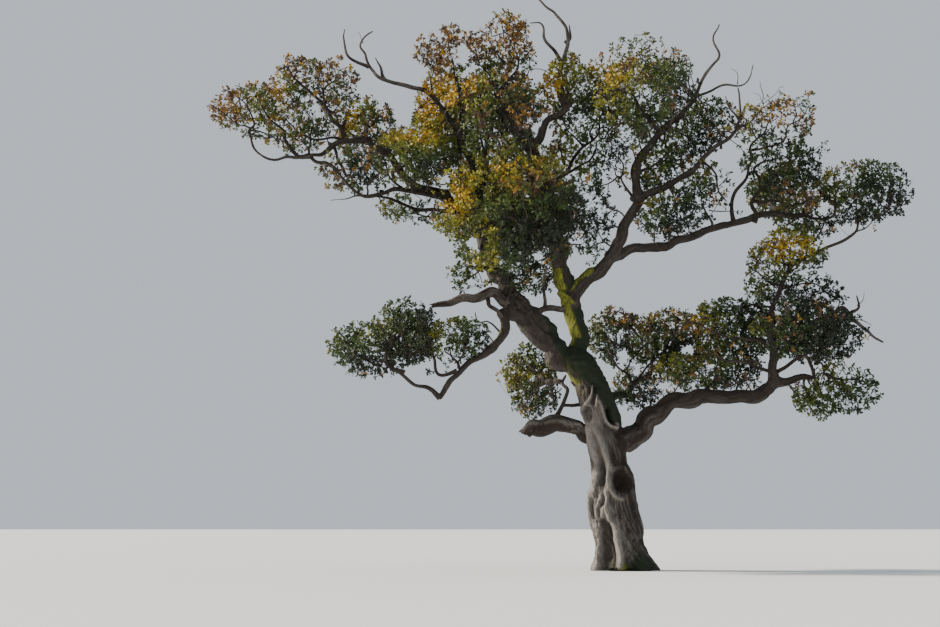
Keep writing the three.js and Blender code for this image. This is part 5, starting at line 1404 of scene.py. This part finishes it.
LEAFLESS = (
    "rise_bare", "rise_bare_left", "rise_bare_right", "left_under_stub", "low_arch", "behind_riser",
    "behind_cross",
)
CLUMP_LEVEL = 0.49
FINE_DENSITY = 56.0
FINE_SPACING = 0.155
FINE_TOLL = 0.35
LEAFY = ("centre_", "window_", "low_bough_")
SPRAYS_A_METRE = {True: 24.0, False: 9.0}


def sprays_along(limbs, seed):
    """Random places 15 to 45 cm out from the outer three quarters of the limbs, more on the leafy ones."""
    chance = np.random.default_rng(seed)
    found = []
    for name in limbs:
        path, _ = limb_paths[name]
        if name in LEAFLESS:
            continue
        count = int(SPRAYS_A_METRE[name.startswith(LEAFY)] * length_along(path)[-1])
        chosen = path[chance.integers(len(path) // 4, len(path), count)]
        found.append(chosen + unit(chance.normal(size=(count, 3))) * chance.uniform(0.15, 0.45, (count, 1)))
    return np.vstack(found)


fine_targets = fill_lumps(FINE_DENSITY, 0.2, 12)
clump = noise(fine_targets / 0.62 + 3.0) * 0.6 + noise(fine_targets / 0.3 + 40.0) * 0.4
which, out = nearest_lump(fine_targets)
openness = np.array([OPENNESS.get(name, 0.0) for name in MASSES])[lump_mass[which]]
ragged = 0.6 * noise(fine_targets / 1.15 + 17.0)
full_edges = np.isin(lump_mass[which], [list(MASSES).index(name) for name in FULL_EDGES])
edge = np.where(full_edges, 0.85, 0.68) + ragged
kept = (clump > CLUMP_LEVEL + openness - 0.05 * out) & (out < edge) & ~in_sky(fine_targets)
along_limbs = sprays_along(INNER_LIMBS, 15)
fine_targets = thin_out(np.vstack([fine_targets[kept], along_limbs]), FINE_SPACING)
fine_targets = fine_targets[fine_targets[:, 0] < FARTHEST_RIGHT]
print("places for fine twigs:", len(fine_targets))

# %% [markdown]
# Some boughs are seen bare in front of the foliage, and a random crown would hide them. Places that the
# eye sees across such a bough, and that stand in front of it, are given up, all but a few stray ones.

# %% Fine twigs keep off bare limbs
KEEP_OFF = 0.11
STRAY_SHARE = 0.12
# Each limb, and the share of its length where it starts to be seen.
BARE_LIMBS = {
    "far_left_bough": 0.0, "far_left_outer": 0.0, "far_left_rise": 0.0, "left_lower_bough": 0.2,
    "antler_bough": 0.55, "top_left_arm": 0.0, "top_right_arm": 0.0, "dome_bough": 0.0,
    "right_upper_bough": 0.0, "right_riser": 0.0, "right_upright": 0.35, "right_bough": 0.3,
    "far_right_bough": 0.0, "low_left_outer": 0.0, "right_low_tip": 0.0,
}
bare = []
for name in list(BARE_LIMBS) + list(INNER_LIMBS):
    path, radius = limb_paths[name]
    first = int(BARE_LIMBS.get(name, 0.0) * len(path))
    bare.append(np.column_stack([as_seen(path), path[:, 1], radius])[first::2])
bare = np.vstack(bare)
chance = np.random.default_rng(14)
hides = np.zeros(len(fine_targets), bool)
for first in range(0, len(fine_targets), BLOCK):
    block = slice(first, first + BLOCK)
    away = np.linalg.norm(as_seen(fine_targets[block])[:, None] - bare[None, :, :2], axis=2)
    in_front = fine_targets[block, 1, None] < bare[None, :, 2] + 0.1
    hides[block] = ((away < bare[None, :, 3] + KEEP_OFF) & in_front).any(axis=1)
fine_targets = fine_targets[~hides | (chance.random(len(hides)) < STRAY_SHARE)]
print("fine twigs wanted:", len(fine_targets), "kept out of the way:", int(hides.sum()))

# %% [markdown]
# Both passes are now put together as one tree, in which every joint knows its parent. Going through it
# from the tips to the foot counts how many tips hang on each joint. A twig's girth grows with about the
# square root of that count, as sap-carrying wood adds up.

# %% One tree of joints
# A joint is a place with a parent that comes before it. Strong twigs bend, so each is cut into four.
PIECES = 4
limb_count = len(limb_starts)


def bend(starts, ends, shares, amount, seed):
    """Places on a bowed way: (1 - t) start + t end + 4 t (1 - t) bow, a random sideways vector."""
    chance = np.random.default_rng(seed)
    way = ends - starts
    sideways = np.cross(unit(way), unit(chance.normal(size=way.shape)))
    bow = sideways * np.linalg.norm(way, axis=1)[:, None] * amount
    t = np.asarray(shares)[None, :, None]
    return starts[:, None] * (1 - t) + ends[:, None] * t + 4 * t * (1 - t) * bow[:, None]


rank = np.empty(len(strong_order), int)
rank[strong_order] = np.arange(len(strong_order))
strong_from = strong_parent[strong_order]
on_limb = strong_from < limb_count
turn_of = rank[np.maximum(strong_from - limb_count, 0)]
strong_from = np.where(on_limb, strong_from, limb_count + PIECES * (turn_of + 1) - 1)
strong_ends = strong_targets[strong_order]
all_ends = np.vstack([limb_starts, np.repeat(strong_ends, PIECES, axis=0)])
strong_places = bend(all_ends[strong_from], strong_ends, np.arange(1, PIECES + 1) / PIECES, 0.13, 21)
own = limb_count + np.arange(len(strong_ends) * PIECES)
strong_parents = own - 1
strong_parents[::PIECES] = strong_from
strong_lengths = np.linalg.norm(strong_ends - all_ends[strong_from], axis=1)
way_parts = strong_lengths[:, None] * np.arange(PIECES - 1, -1, -1) / PIECES
strong_part_ways = (strong_ways[strong_order][:, None] - way_parts).ravel()

base_places = np.vstack([limb_starts, strong_places.reshape(-1, 3)])
base_ways = np.concatenate([np.zeros(limb_count), strong_part_ways])
fine_parent, _, fine_order = grow(base_places, base_ways, fine_targets, FINE_TOLL)
base_count = len(base_places)
rank = np.empty(len(fine_order), int)
rank[fine_order] = np.arange(len(fine_order))
fine_from = fine_parent[fine_order]
turn_of = rank[np.maximum(fine_from - base_count, 0)]
fine_from = np.where(fine_from < base_count, fine_from, base_count + turn_of)

joints = np.vstack([base_places, fine_targets[fine_order]])
parents = np.concatenate([np.full(limb_count, -1), strong_parents, fine_from])
tips = np.zeros(len(joints))
tips[base_count:] = 1
for joint in range(len(joints) - 1, limb_count - 1, -1):
    tips[parents[joint]] += tips[joint]
TIP_RADIUS = 0.0065
GIRTH_POWER = 0.46
THICKEST_TWIG = 0.12
widths = TIP_RADIUS * np.maximum(tips, 1) ** GIRTH_POWER
widths[:limb_count] = limb_widths
widths[limb_count:] = np.minimum(widths[limb_count:], THICKEST_TWIG)
print("joints:", len(joints), "thickest twig:", round(float(widths[limb_count:].max()), 3))

# %% [markdown]
# Seen from fifty metres a twig is a dark line, so three sides are enough for a fine one and six for a
# strong one. All prisms of one kind become a single mesh, since thousands of separate objects would be
# slow to draw.

# %% Twigs as tapered prisms
STRONG_TWIG = 0.02


def prisms(starts, ends, start_widths, end_widths, sides):
    """A closed prism for each twig: both its ends + radius x (cos a side + sin a up)."""
    along = unit(ends - starts)
    side = unit(np.cross(along, np.array([0.13, 0.21, 1.0])) + 1e-6)
    up = np.cross(along, side)
    turn = np.linspace(0.0, 2 * math.pi, sides, endpoint=False)
    outward = np.cos(turn)[None, :, None] * side[:, None] + np.sin(turn)[None, :, None] * up[:, None]
    rings = np.stack([starts, ends], axis=1)
    ring_widths = np.stack([start_widths, end_widths], axis=1)
    places = rings[:, :, None] + outward[:, None] * ring_widths[:, :, None, None]
    first = (np.arange(len(starts)) * 2 * sides)[:, None, None]
    quads = (ring_faces(2, sides)[None] + first).reshape(-1, 4)
    corner = np.arange(sides)
    ends_of_one = np.stack([corner[::-1], sides + corner])
    caps = (ends_of_one[None] + first).reshape(-1, sides)
    return places.reshape(-1, 3), [quads, caps]


born = np.arange(limb_count, len(joints))
born = born[tips[born] > 0]
begin, end = joints[parents[born]], joints[born]
end_width = widths[born]
begin_width = np.minimum(end_width * 1.15, np.maximum(widths[parents[born]], end_width * 0.6))
thick = end_width > STRONG_TWIG
twig_sets = {"strong_twigs": (thick, 6), "fine_twigs": (~thick, 3)}
for name, (chosen, sides) in twig_sets.items():
    places, faces = prisms(begin[chosen], end[chosen], begin_width[chosen], end_width[chosen], sides)
    piece = make_mesh(name, places, faces, [twig_bark])

# %% [markdown]
# ## Leaves
# An oak leaf is longer than wide, broadest towards its tip, with rounded lobes. Each is made with its own
# outline: a base, a narrow lobe, a waist, a wide lobe and a tip, six triangles in all, curled a little.
# Leaves stand in sprays round the ends of fine twigs, as oak buds crowd at the tips. The autumn tint is
# dealt out by spray, partly the leaves' own colour and partly painted light: gold and russet where the
# sun comes in, a green darkened by painted shade deep inside.

# %% Leaves on the fine twigs
# The outline as [share of the length, share of the width], then its four- and three-cornered faces.
LEAF_OUTLINE = np.array([
    [0.0, 0.0], [0.3, -0.27], [0.3, 0.27], [0.48, 0.2],
    [0.48, -0.2], [0.72, 0.46], [0.72, -0.46], [1.0, 0.0],
])
LEAF_QUADS = np.array([[1, 4, 3, 2], [4, 6, 5, 3]])
LEAF_POINTS = np.array([[0, 1, 2], [6, 7, 5]])
LEAVES_A_SPRAY = (5, 8)
LEAF_LENGTHS = (0.11, 0.17)


def leaf_arrays(roots, ways, faces_up, lengths, curls):
    """Leaves along their ways: root + u length way + v width side + normal x curl x u^2."""
    sides = unit(np.cross(faces_up, ways))
    normals = np.cross(ways, sides)
    u, v = LEAF_OUTLINE[None, :, 0, None], LEAF_OUTLINE[None, :, 1, None]
    size = lengths[:, None, None]
    places = roots[:, None] + ways[:, None] * u * size + sides[:, None] * v * size * 0.72
    places = places + normals[:, None] * (curls[:, None, None] * size * u**2 + 0.25 * size * v**2)
    first = (np.arange(len(roots)) * len(LEAF_OUTLINE))[:, None, None]
    quads = (LEAF_QUADS[None] + first).reshape(-1, 4)
    points = (LEAF_POINTS[None] + first).reshape(-1, 3)
    return places.reshape(-1, 3), [quads, points]


bearers = np.arange(base_count, len(joints))
twig_way = unit(joints[bearers] - joints[parents[bearers]])
twig_length = np.linalg.norm(joints[bearers] - joints[parents[bearers]], axis=1)
chance = np.random.default_rng(41)
leaf_count = chance.integers(*LEAVES_A_SPRAY, len(bearers))
spray = np.repeat(np.arange(len(bearers)), leaf_count)
print("sprays:", len(bearers), "leaves:", len(spray))

back = chance.random(len(spray)) ** 1.6 * np.minimum(0.28, 0.8 * twig_length[spray])
roots = joints[bearers[spray]] - twig_way[spray] * back[:, None]
splay = unit(np.cross(twig_way[spray], unit(chance.normal(size=(len(spray), 3)))))
ahead = chance.uniform(0.15, 0.9, len(spray))[:, None]
ways = unit(twig_way[spray] * ahead + splay + np.array([0.0, 0.0, 0.12]))
faces_up = unit(np.array([0.0, 0.0, 1.0]) + 0.75 * chance.normal(size=(len(spray), 3)))
lengths = chance.uniform(*LEAF_LENGTHS, len(spray))
curls = chance.uniform(-0.35, 0.1, len(spray))

# %% [markdown]
# An oak turns by the branch, not by the leaf. The sunny left side of this crown is gold and russet, the
# shaded inside still deep green, and the tints also carry painted light: brighter gold as painted
# sunlight, darker green as painted shade. Each spray gets one plain tint: a light value made of sun,
# height in the lump and noise is ranked within its mass, and shares of the row of tints are dealt out in
# that order.

# %% Autumn tints by spray
# From deep shade to full sun, and then the turned leaves. Each mass has its own shares of the green row.
TINTS = [
    ("shade_green", "262f20", "leaves_green"),
    ("dark_green", "3a4a26", "leaves_green"),
    ("olive_green", "505c26", "leaves_green"),
    ("olive", "66682a", "leaves_olive"),
    ("yellow_green", "8a862a", "leaves_olive"),
    ("gold", "a4861f", "leaves_gold"),
    ("bright_gold", "c09626", "leaves_gold"),
    ("orange", "94702c", "leaves_russet"),
    ("russet", "785a36", "leaves_russet"),
    ("brown", "58483c", "leaves_russet"),
]
GREEN_SHARES = {
    "gold": [0.14, 0.22, 0.22, 0.17, 0.11, 0.1, 0.04],
    "olive": [0.2, 0.28, 0.25, 0.15, 0.07, 0.05, 0.0],
    "green": [0.38, 0.34, 0.19, 0.07, 0.02, 0.0, 0.0],
    "russet": [0.08, 0.18, 0.27, 0.24, 0.13, 0.08, 0.02],
}
TURNED = {"gold": 0.08, "olive": 0.1, "green": 0.12, "russet": 0.3}
SEEN_TINTS = {"leaves_left_crook": "russet", "leaves_left_lower": "olive"}
TINT_ROW = [name for name, _, _ in TINTS]
mass_tints = [SEEN_TINTS.get(name, tint) for name, (tint, _) in MASSES.items()]
print("tints:", TINT_ROW)

# %% [markdown]
# The photograph shows where the crown has turned: russet tips and one lush tuft. The sun spots paint
# light instead: patches of yellow on the sunny side brightened as painted sunlight, and a few patches of
# painted shade. Each is noted as a soft spot, and shifts the light value or the turning value of the
# sprays that the eye sees there.

# %% Spots of painted sunlight and shade, and where the crown has turned
# Sun spots paint sunlight into the tints, and those with a strength below 0 paint shade.
# [pixel across, pixel down, half width, half height, strength] in the photograph.
SUN_SPOTS = np.array([
    [545, 160, 48, 16, 0.6], [452, 92, 26, 22, 0.35], [520, 108, 40, 34, -0.35], [262, 105, 34, 18, 0.25],
    [350, 120, 24, 16, 0.3], [500, 175, 40, 14, 0.3], [433, 118, 18, 30, 0.6], [422, 140, 34, 14, 0.5],
    [457, 205, 16, 24, 0.8], [553, 90, 15, 16, 0.7], [602, 68, 34, 18, 0.5], [796, 249, 24, 15, 1.3],
    [440, 85, 16, 20, 0.3], [465, 85, 20, 14, 0.3], [278, 90, 8, 8, 0.5], [395, 170, 16, 14, 0.4],
    [690, 322, 25, 14, 0.3], [540, 375, 30, 14, 0.4], [535, 235, 50, 30, -0.3], [575, 205, 36, 8, 0.3],
    [590, 210, 34, 34, -0.4], [420, 160, 40, 14, -0.3], [370, 165, 24, 20, -0.4], [790, 300, 60, 34, -0.4],
])
TURNED_SPOTS = np.array([
    [480, 36, 62, 22, 0.45], [430, 52, 24, 20, 0.3], [286, 62, 24, 14, 0.5], [335, 68, 22, 14, 0.5],
    [225, 105, 20, 20, 0.35], [776, 118, 26, 12, 0.45], [340, 172, 16, 14, 0.4], [700, 330, 34, 14, 0.3],
    [560, 180, 40, 10, 0.3], [640, 62, 40, 18, 0.2], [650, 320, 40, 16, 0.2], [515, 100, 44, 36, 0.22],
    [810, 200, 14, 10, 0.4], [385, 345, 70, 40, -0.22], [518, 38, 24, 26, 0.3],
])
LUSH_SPOTS = np.array([[484, 250, 16, 34, 1.0], [540, 375, 26, 18, 0.5]])
ends = joints[bearers]
which, out = nearest_lump(ends)
outward = unit((ends - lump_middles[which]) / lump_reaches[which])
sun = unit(np.array([-0.87, 0.05, 0.5]))
open_to_sun = np.clip(out, 0, 1.2) * (outward @ sun)
patch = noise(ends / 1.1 + 60.0) * 0.6 + noise(ends / 0.45 + 90.0) * 0.4
turned_patch = noise(ends / 0.9 + 120.0) * 0.6 + noise(ends / 0.35 + 150.0) * 0.4


def in_spots(points, rows):
    """The sum over the spots of strength x exp(-(distance over reach)^2), as the eye sees the points."""
    middles = on_photo(rows[:, :3])[:, :2]
    corners = on_photo(rows[:, :3] + np.array([1.0, -1.0, 0.0]))[:, :2]
    metres = (corners - middles) * rows[:, 2:4]
    away = (as_seen(points)[:, None] - middles) / metres
    return (rows[:, 4] * np.exp(-(away**2).sum(axis=2))).sum(axis=1)


def rank_of(values):
    """Each value's place in the row of all of them, from 0 for the least to 1 for the greatest."""
    return np.argsort(np.argsort(values)) / len(values)


def deal(chosen, shares):
    """Gives the chosen sprays tints by chance, each tint with its share."""
    numbers = [TINT_ROW.index(name) for name in shares]
    tint_of[chosen] = chance.choice(numbers, int(chosen.sum()), p=list(shares.values()))


print("sprays in sun spots:", int((in_spots(ends, SUN_SPOTS) > 0.3).sum()))

# %% [markdown]
# Now the tints are dealt. Within its mass each spray has a rank from shade to sun, and the mass's shares
# say how far along the row of greens and golds that rank reaches. Then some sprays have turned, and the
# spots have the last word.

# %% Tints dealt to the sprays
# Painted light: sprays open to the sun and in the sun spots rank towards the bright golds, shaded ones
# towards the dark greens.
light = 0.8 * patch + 0.42 * open_to_sun + in_spots(ends, SUN_SPOTS) + 0.16 * chance.random(len(ends))
turning = turned_patch + 0.25 * out + in_spots(ends, TURNED_SPOTS) + 0.3 * chance.random(len(ends))
light = rank_of(light)
turning = rank_of(turning)
tint_of = np.zeros(len(ends), int)
for tint, shares in GREEN_SHARES.items():
    inside = np.array([mass_tints[k] == tint for k in lump_mass[which]])
    steps = np.cumsum(shares) / sum(shares)
    own_rank = 0.5 * rank_of(light[inside]) + 0.5 * light[inside]
    last = TINT_ROW.index("bright_gold")
    tint_of[inside] = np.searchsorted(steps, rank_of(own_rank), side="right").clip(0, last)
    deal(inside & (turning > 1 - TURNED[tint]), {"orange": 0.3, "russet": 0.42, "brown": 0.28})
very_sunny = in_spots(ends, SUN_SPOTS) > 0.75
deal(very_sunny, {"yellow_green": 0.4, "gold": 0.4, "bright_gold": 0.2})
lush = in_spots(ends, LUSH_SPOTS) > 0.4
deal(lush, {"olive_green": 0.2, "olive": 0.35, "yellow_green": 0.45})
tipped = in_spots(ends, TURNED_SPOTS) > 0.3
tipped &= chance.random(len(ends)) < 0.5
deal(tipped, {"gold": 0.2, "orange": 0.25, "russet": 0.35, "brown": 0.2})
print("sprays of each tint:", np.bincount(tint_of, minlength=len(TINTS)))

# %% [markdown]
# A leaf is thin and a little glossy. Its colour is plain for the spray, and noise over the crown moves it
# darker and lighter, with finer noise for the vein side and blemishes.

# %% Leaf material
def leaf_material(name, code):
    """A leaf finish: the tint, darker and lighter by two noises, with a soft gloss and a fine bump."""
    material = bpy.data.materials.new(name)
    material.use_nodes = True
    tree = material.node_tree
    shader = tree.nodes["Principled BSDF"]
    place = tree.nodes.new("ShaderNodeTexCoord").outputs["Object"]
    broad = texture(tree, "ShaderNodeTexNoise", place, 2.2, Detail=2.0)
    fine = texture(tree, "ShaderNodeTexNoise", place, 22.0, Detail=3.0)
    colour = rgb(code)
    darker = (*[c * 0.55 for c in colour[:3]], 1.0)
    lighter = (*[min(1.0, c * 1.5 + 0.004) for c in colour[:3]], 1.0)
    blotched = mix_colour(tree, ramp(tree, broad.outputs[0], 0.3, 0.7), darker, lighter)
    veined = mix_colour(tree, ramp(tree, fine.outputs[0], 0.35, 0.75), blotched, colour)
    tree.links.new(veined, shader.inputs["Base Color"])
    rough = tree.nodes.new("ShaderNodeMapRange")
    rough.inputs["To Min"].default_value = 0.45
    rough.inputs["To Max"].default_value = 0.7
    tree.links.new(fine.outputs[0], rough.inputs["Value"])
    tree.links.new(rough.outputs["Result"], shader.inputs["Roughness"])
    shader.inputs["Specular IOR Level"].default_value = 0.25
    add_bump(tree, fine.outputs[0], 0.3, 0.01)
    return material


print("leaves:", len(roots))

# %% [markdown]
# All leaves of a tint are joined. A tint that would pass the limit of a piece is shared between two
# pieces with the same material.

# %% Leaf pieces
MOST_LEAVES = 29000
leaf_values = (roots, ways, faces_up, lengths, curls)
for k, (name, code, slot) in enumerate(TINTS):
    material = leaf_material(f"leaf_{name}", code)
    of_tint = np.flatnonzero(tint_of[spray] == k)
    for part, chosen in enumerate(np.array_split(of_tint, len(of_tint) // MOST_LEAVES + 1)):
        places, faces = leaf_arrays(*[values[chosen] for values in leaf_values])
        label = f"{name}_leaves_more" if part else f"{name}_leaves"
        make_mesh(label, places, faces, [material], smooth=False)
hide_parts(*MASSES)

# %% [markdown]
# The light is plain: a pale surround, and a soft warm sun from the left, low as on an autumn morning, so
# that the left edges of the trunk and the left of the crown are bright as in the photograph.

# %% Light and floor
world = bpy.data.worlds.new("pale_surround")
world.use_nodes = True
world.node_tree.nodes["Background"].inputs["Color"].default_value = (0.80, 0.87, 0.95, 1.0)
world.node_tree.nodes["Background"].inputs["Strength"].default_value = 0.74
bpy.context.scene.world = world

sun_data = bpy.data.lights.new("low_sun", "SUN")
sun_data.energy = 8.5
sun_data.angle = math.radians(6)
sun_data.color = (1.0, 0.91, 0.79)
sun_lamp = bpy.data.objects.new("low_sun", sun_data)
sun_lamp.rotation_euler = (math.radians(62), 0.0, math.radians(-101))
bpy.context.scene.collection.objects.link(sun_lamp)

floor_mesh = bpy.data.meshes.new("floor")
reach = 900.0
corners = [(-reach, -reach, 0), (reach, -reach, 0), (reach, reach, 0), (-reach, reach, 0)]
floor_mesh.from_pydata(corners, [], [(0, 1, 2, 3)])
floor = bpy.data.objects.new("floor", floor_mesh)
floor_material = bpy.data.materials.new("pale_floor")
floor_material.use_nodes = True
floor_shader = floor_material.node_tree.nodes["Principled BSDF"]
floor_shader.inputs["Base Color"].default_value = (0.72, 0.73, 0.72, 1.0)
floor_shader.inputs["Roughness"].default_value = 0.9
floor_mesh.materials.append(floor_material)
bpy.context.scene.collection.objects.link(floor)
print("light from", sun_lamp.name, "and", world.name)
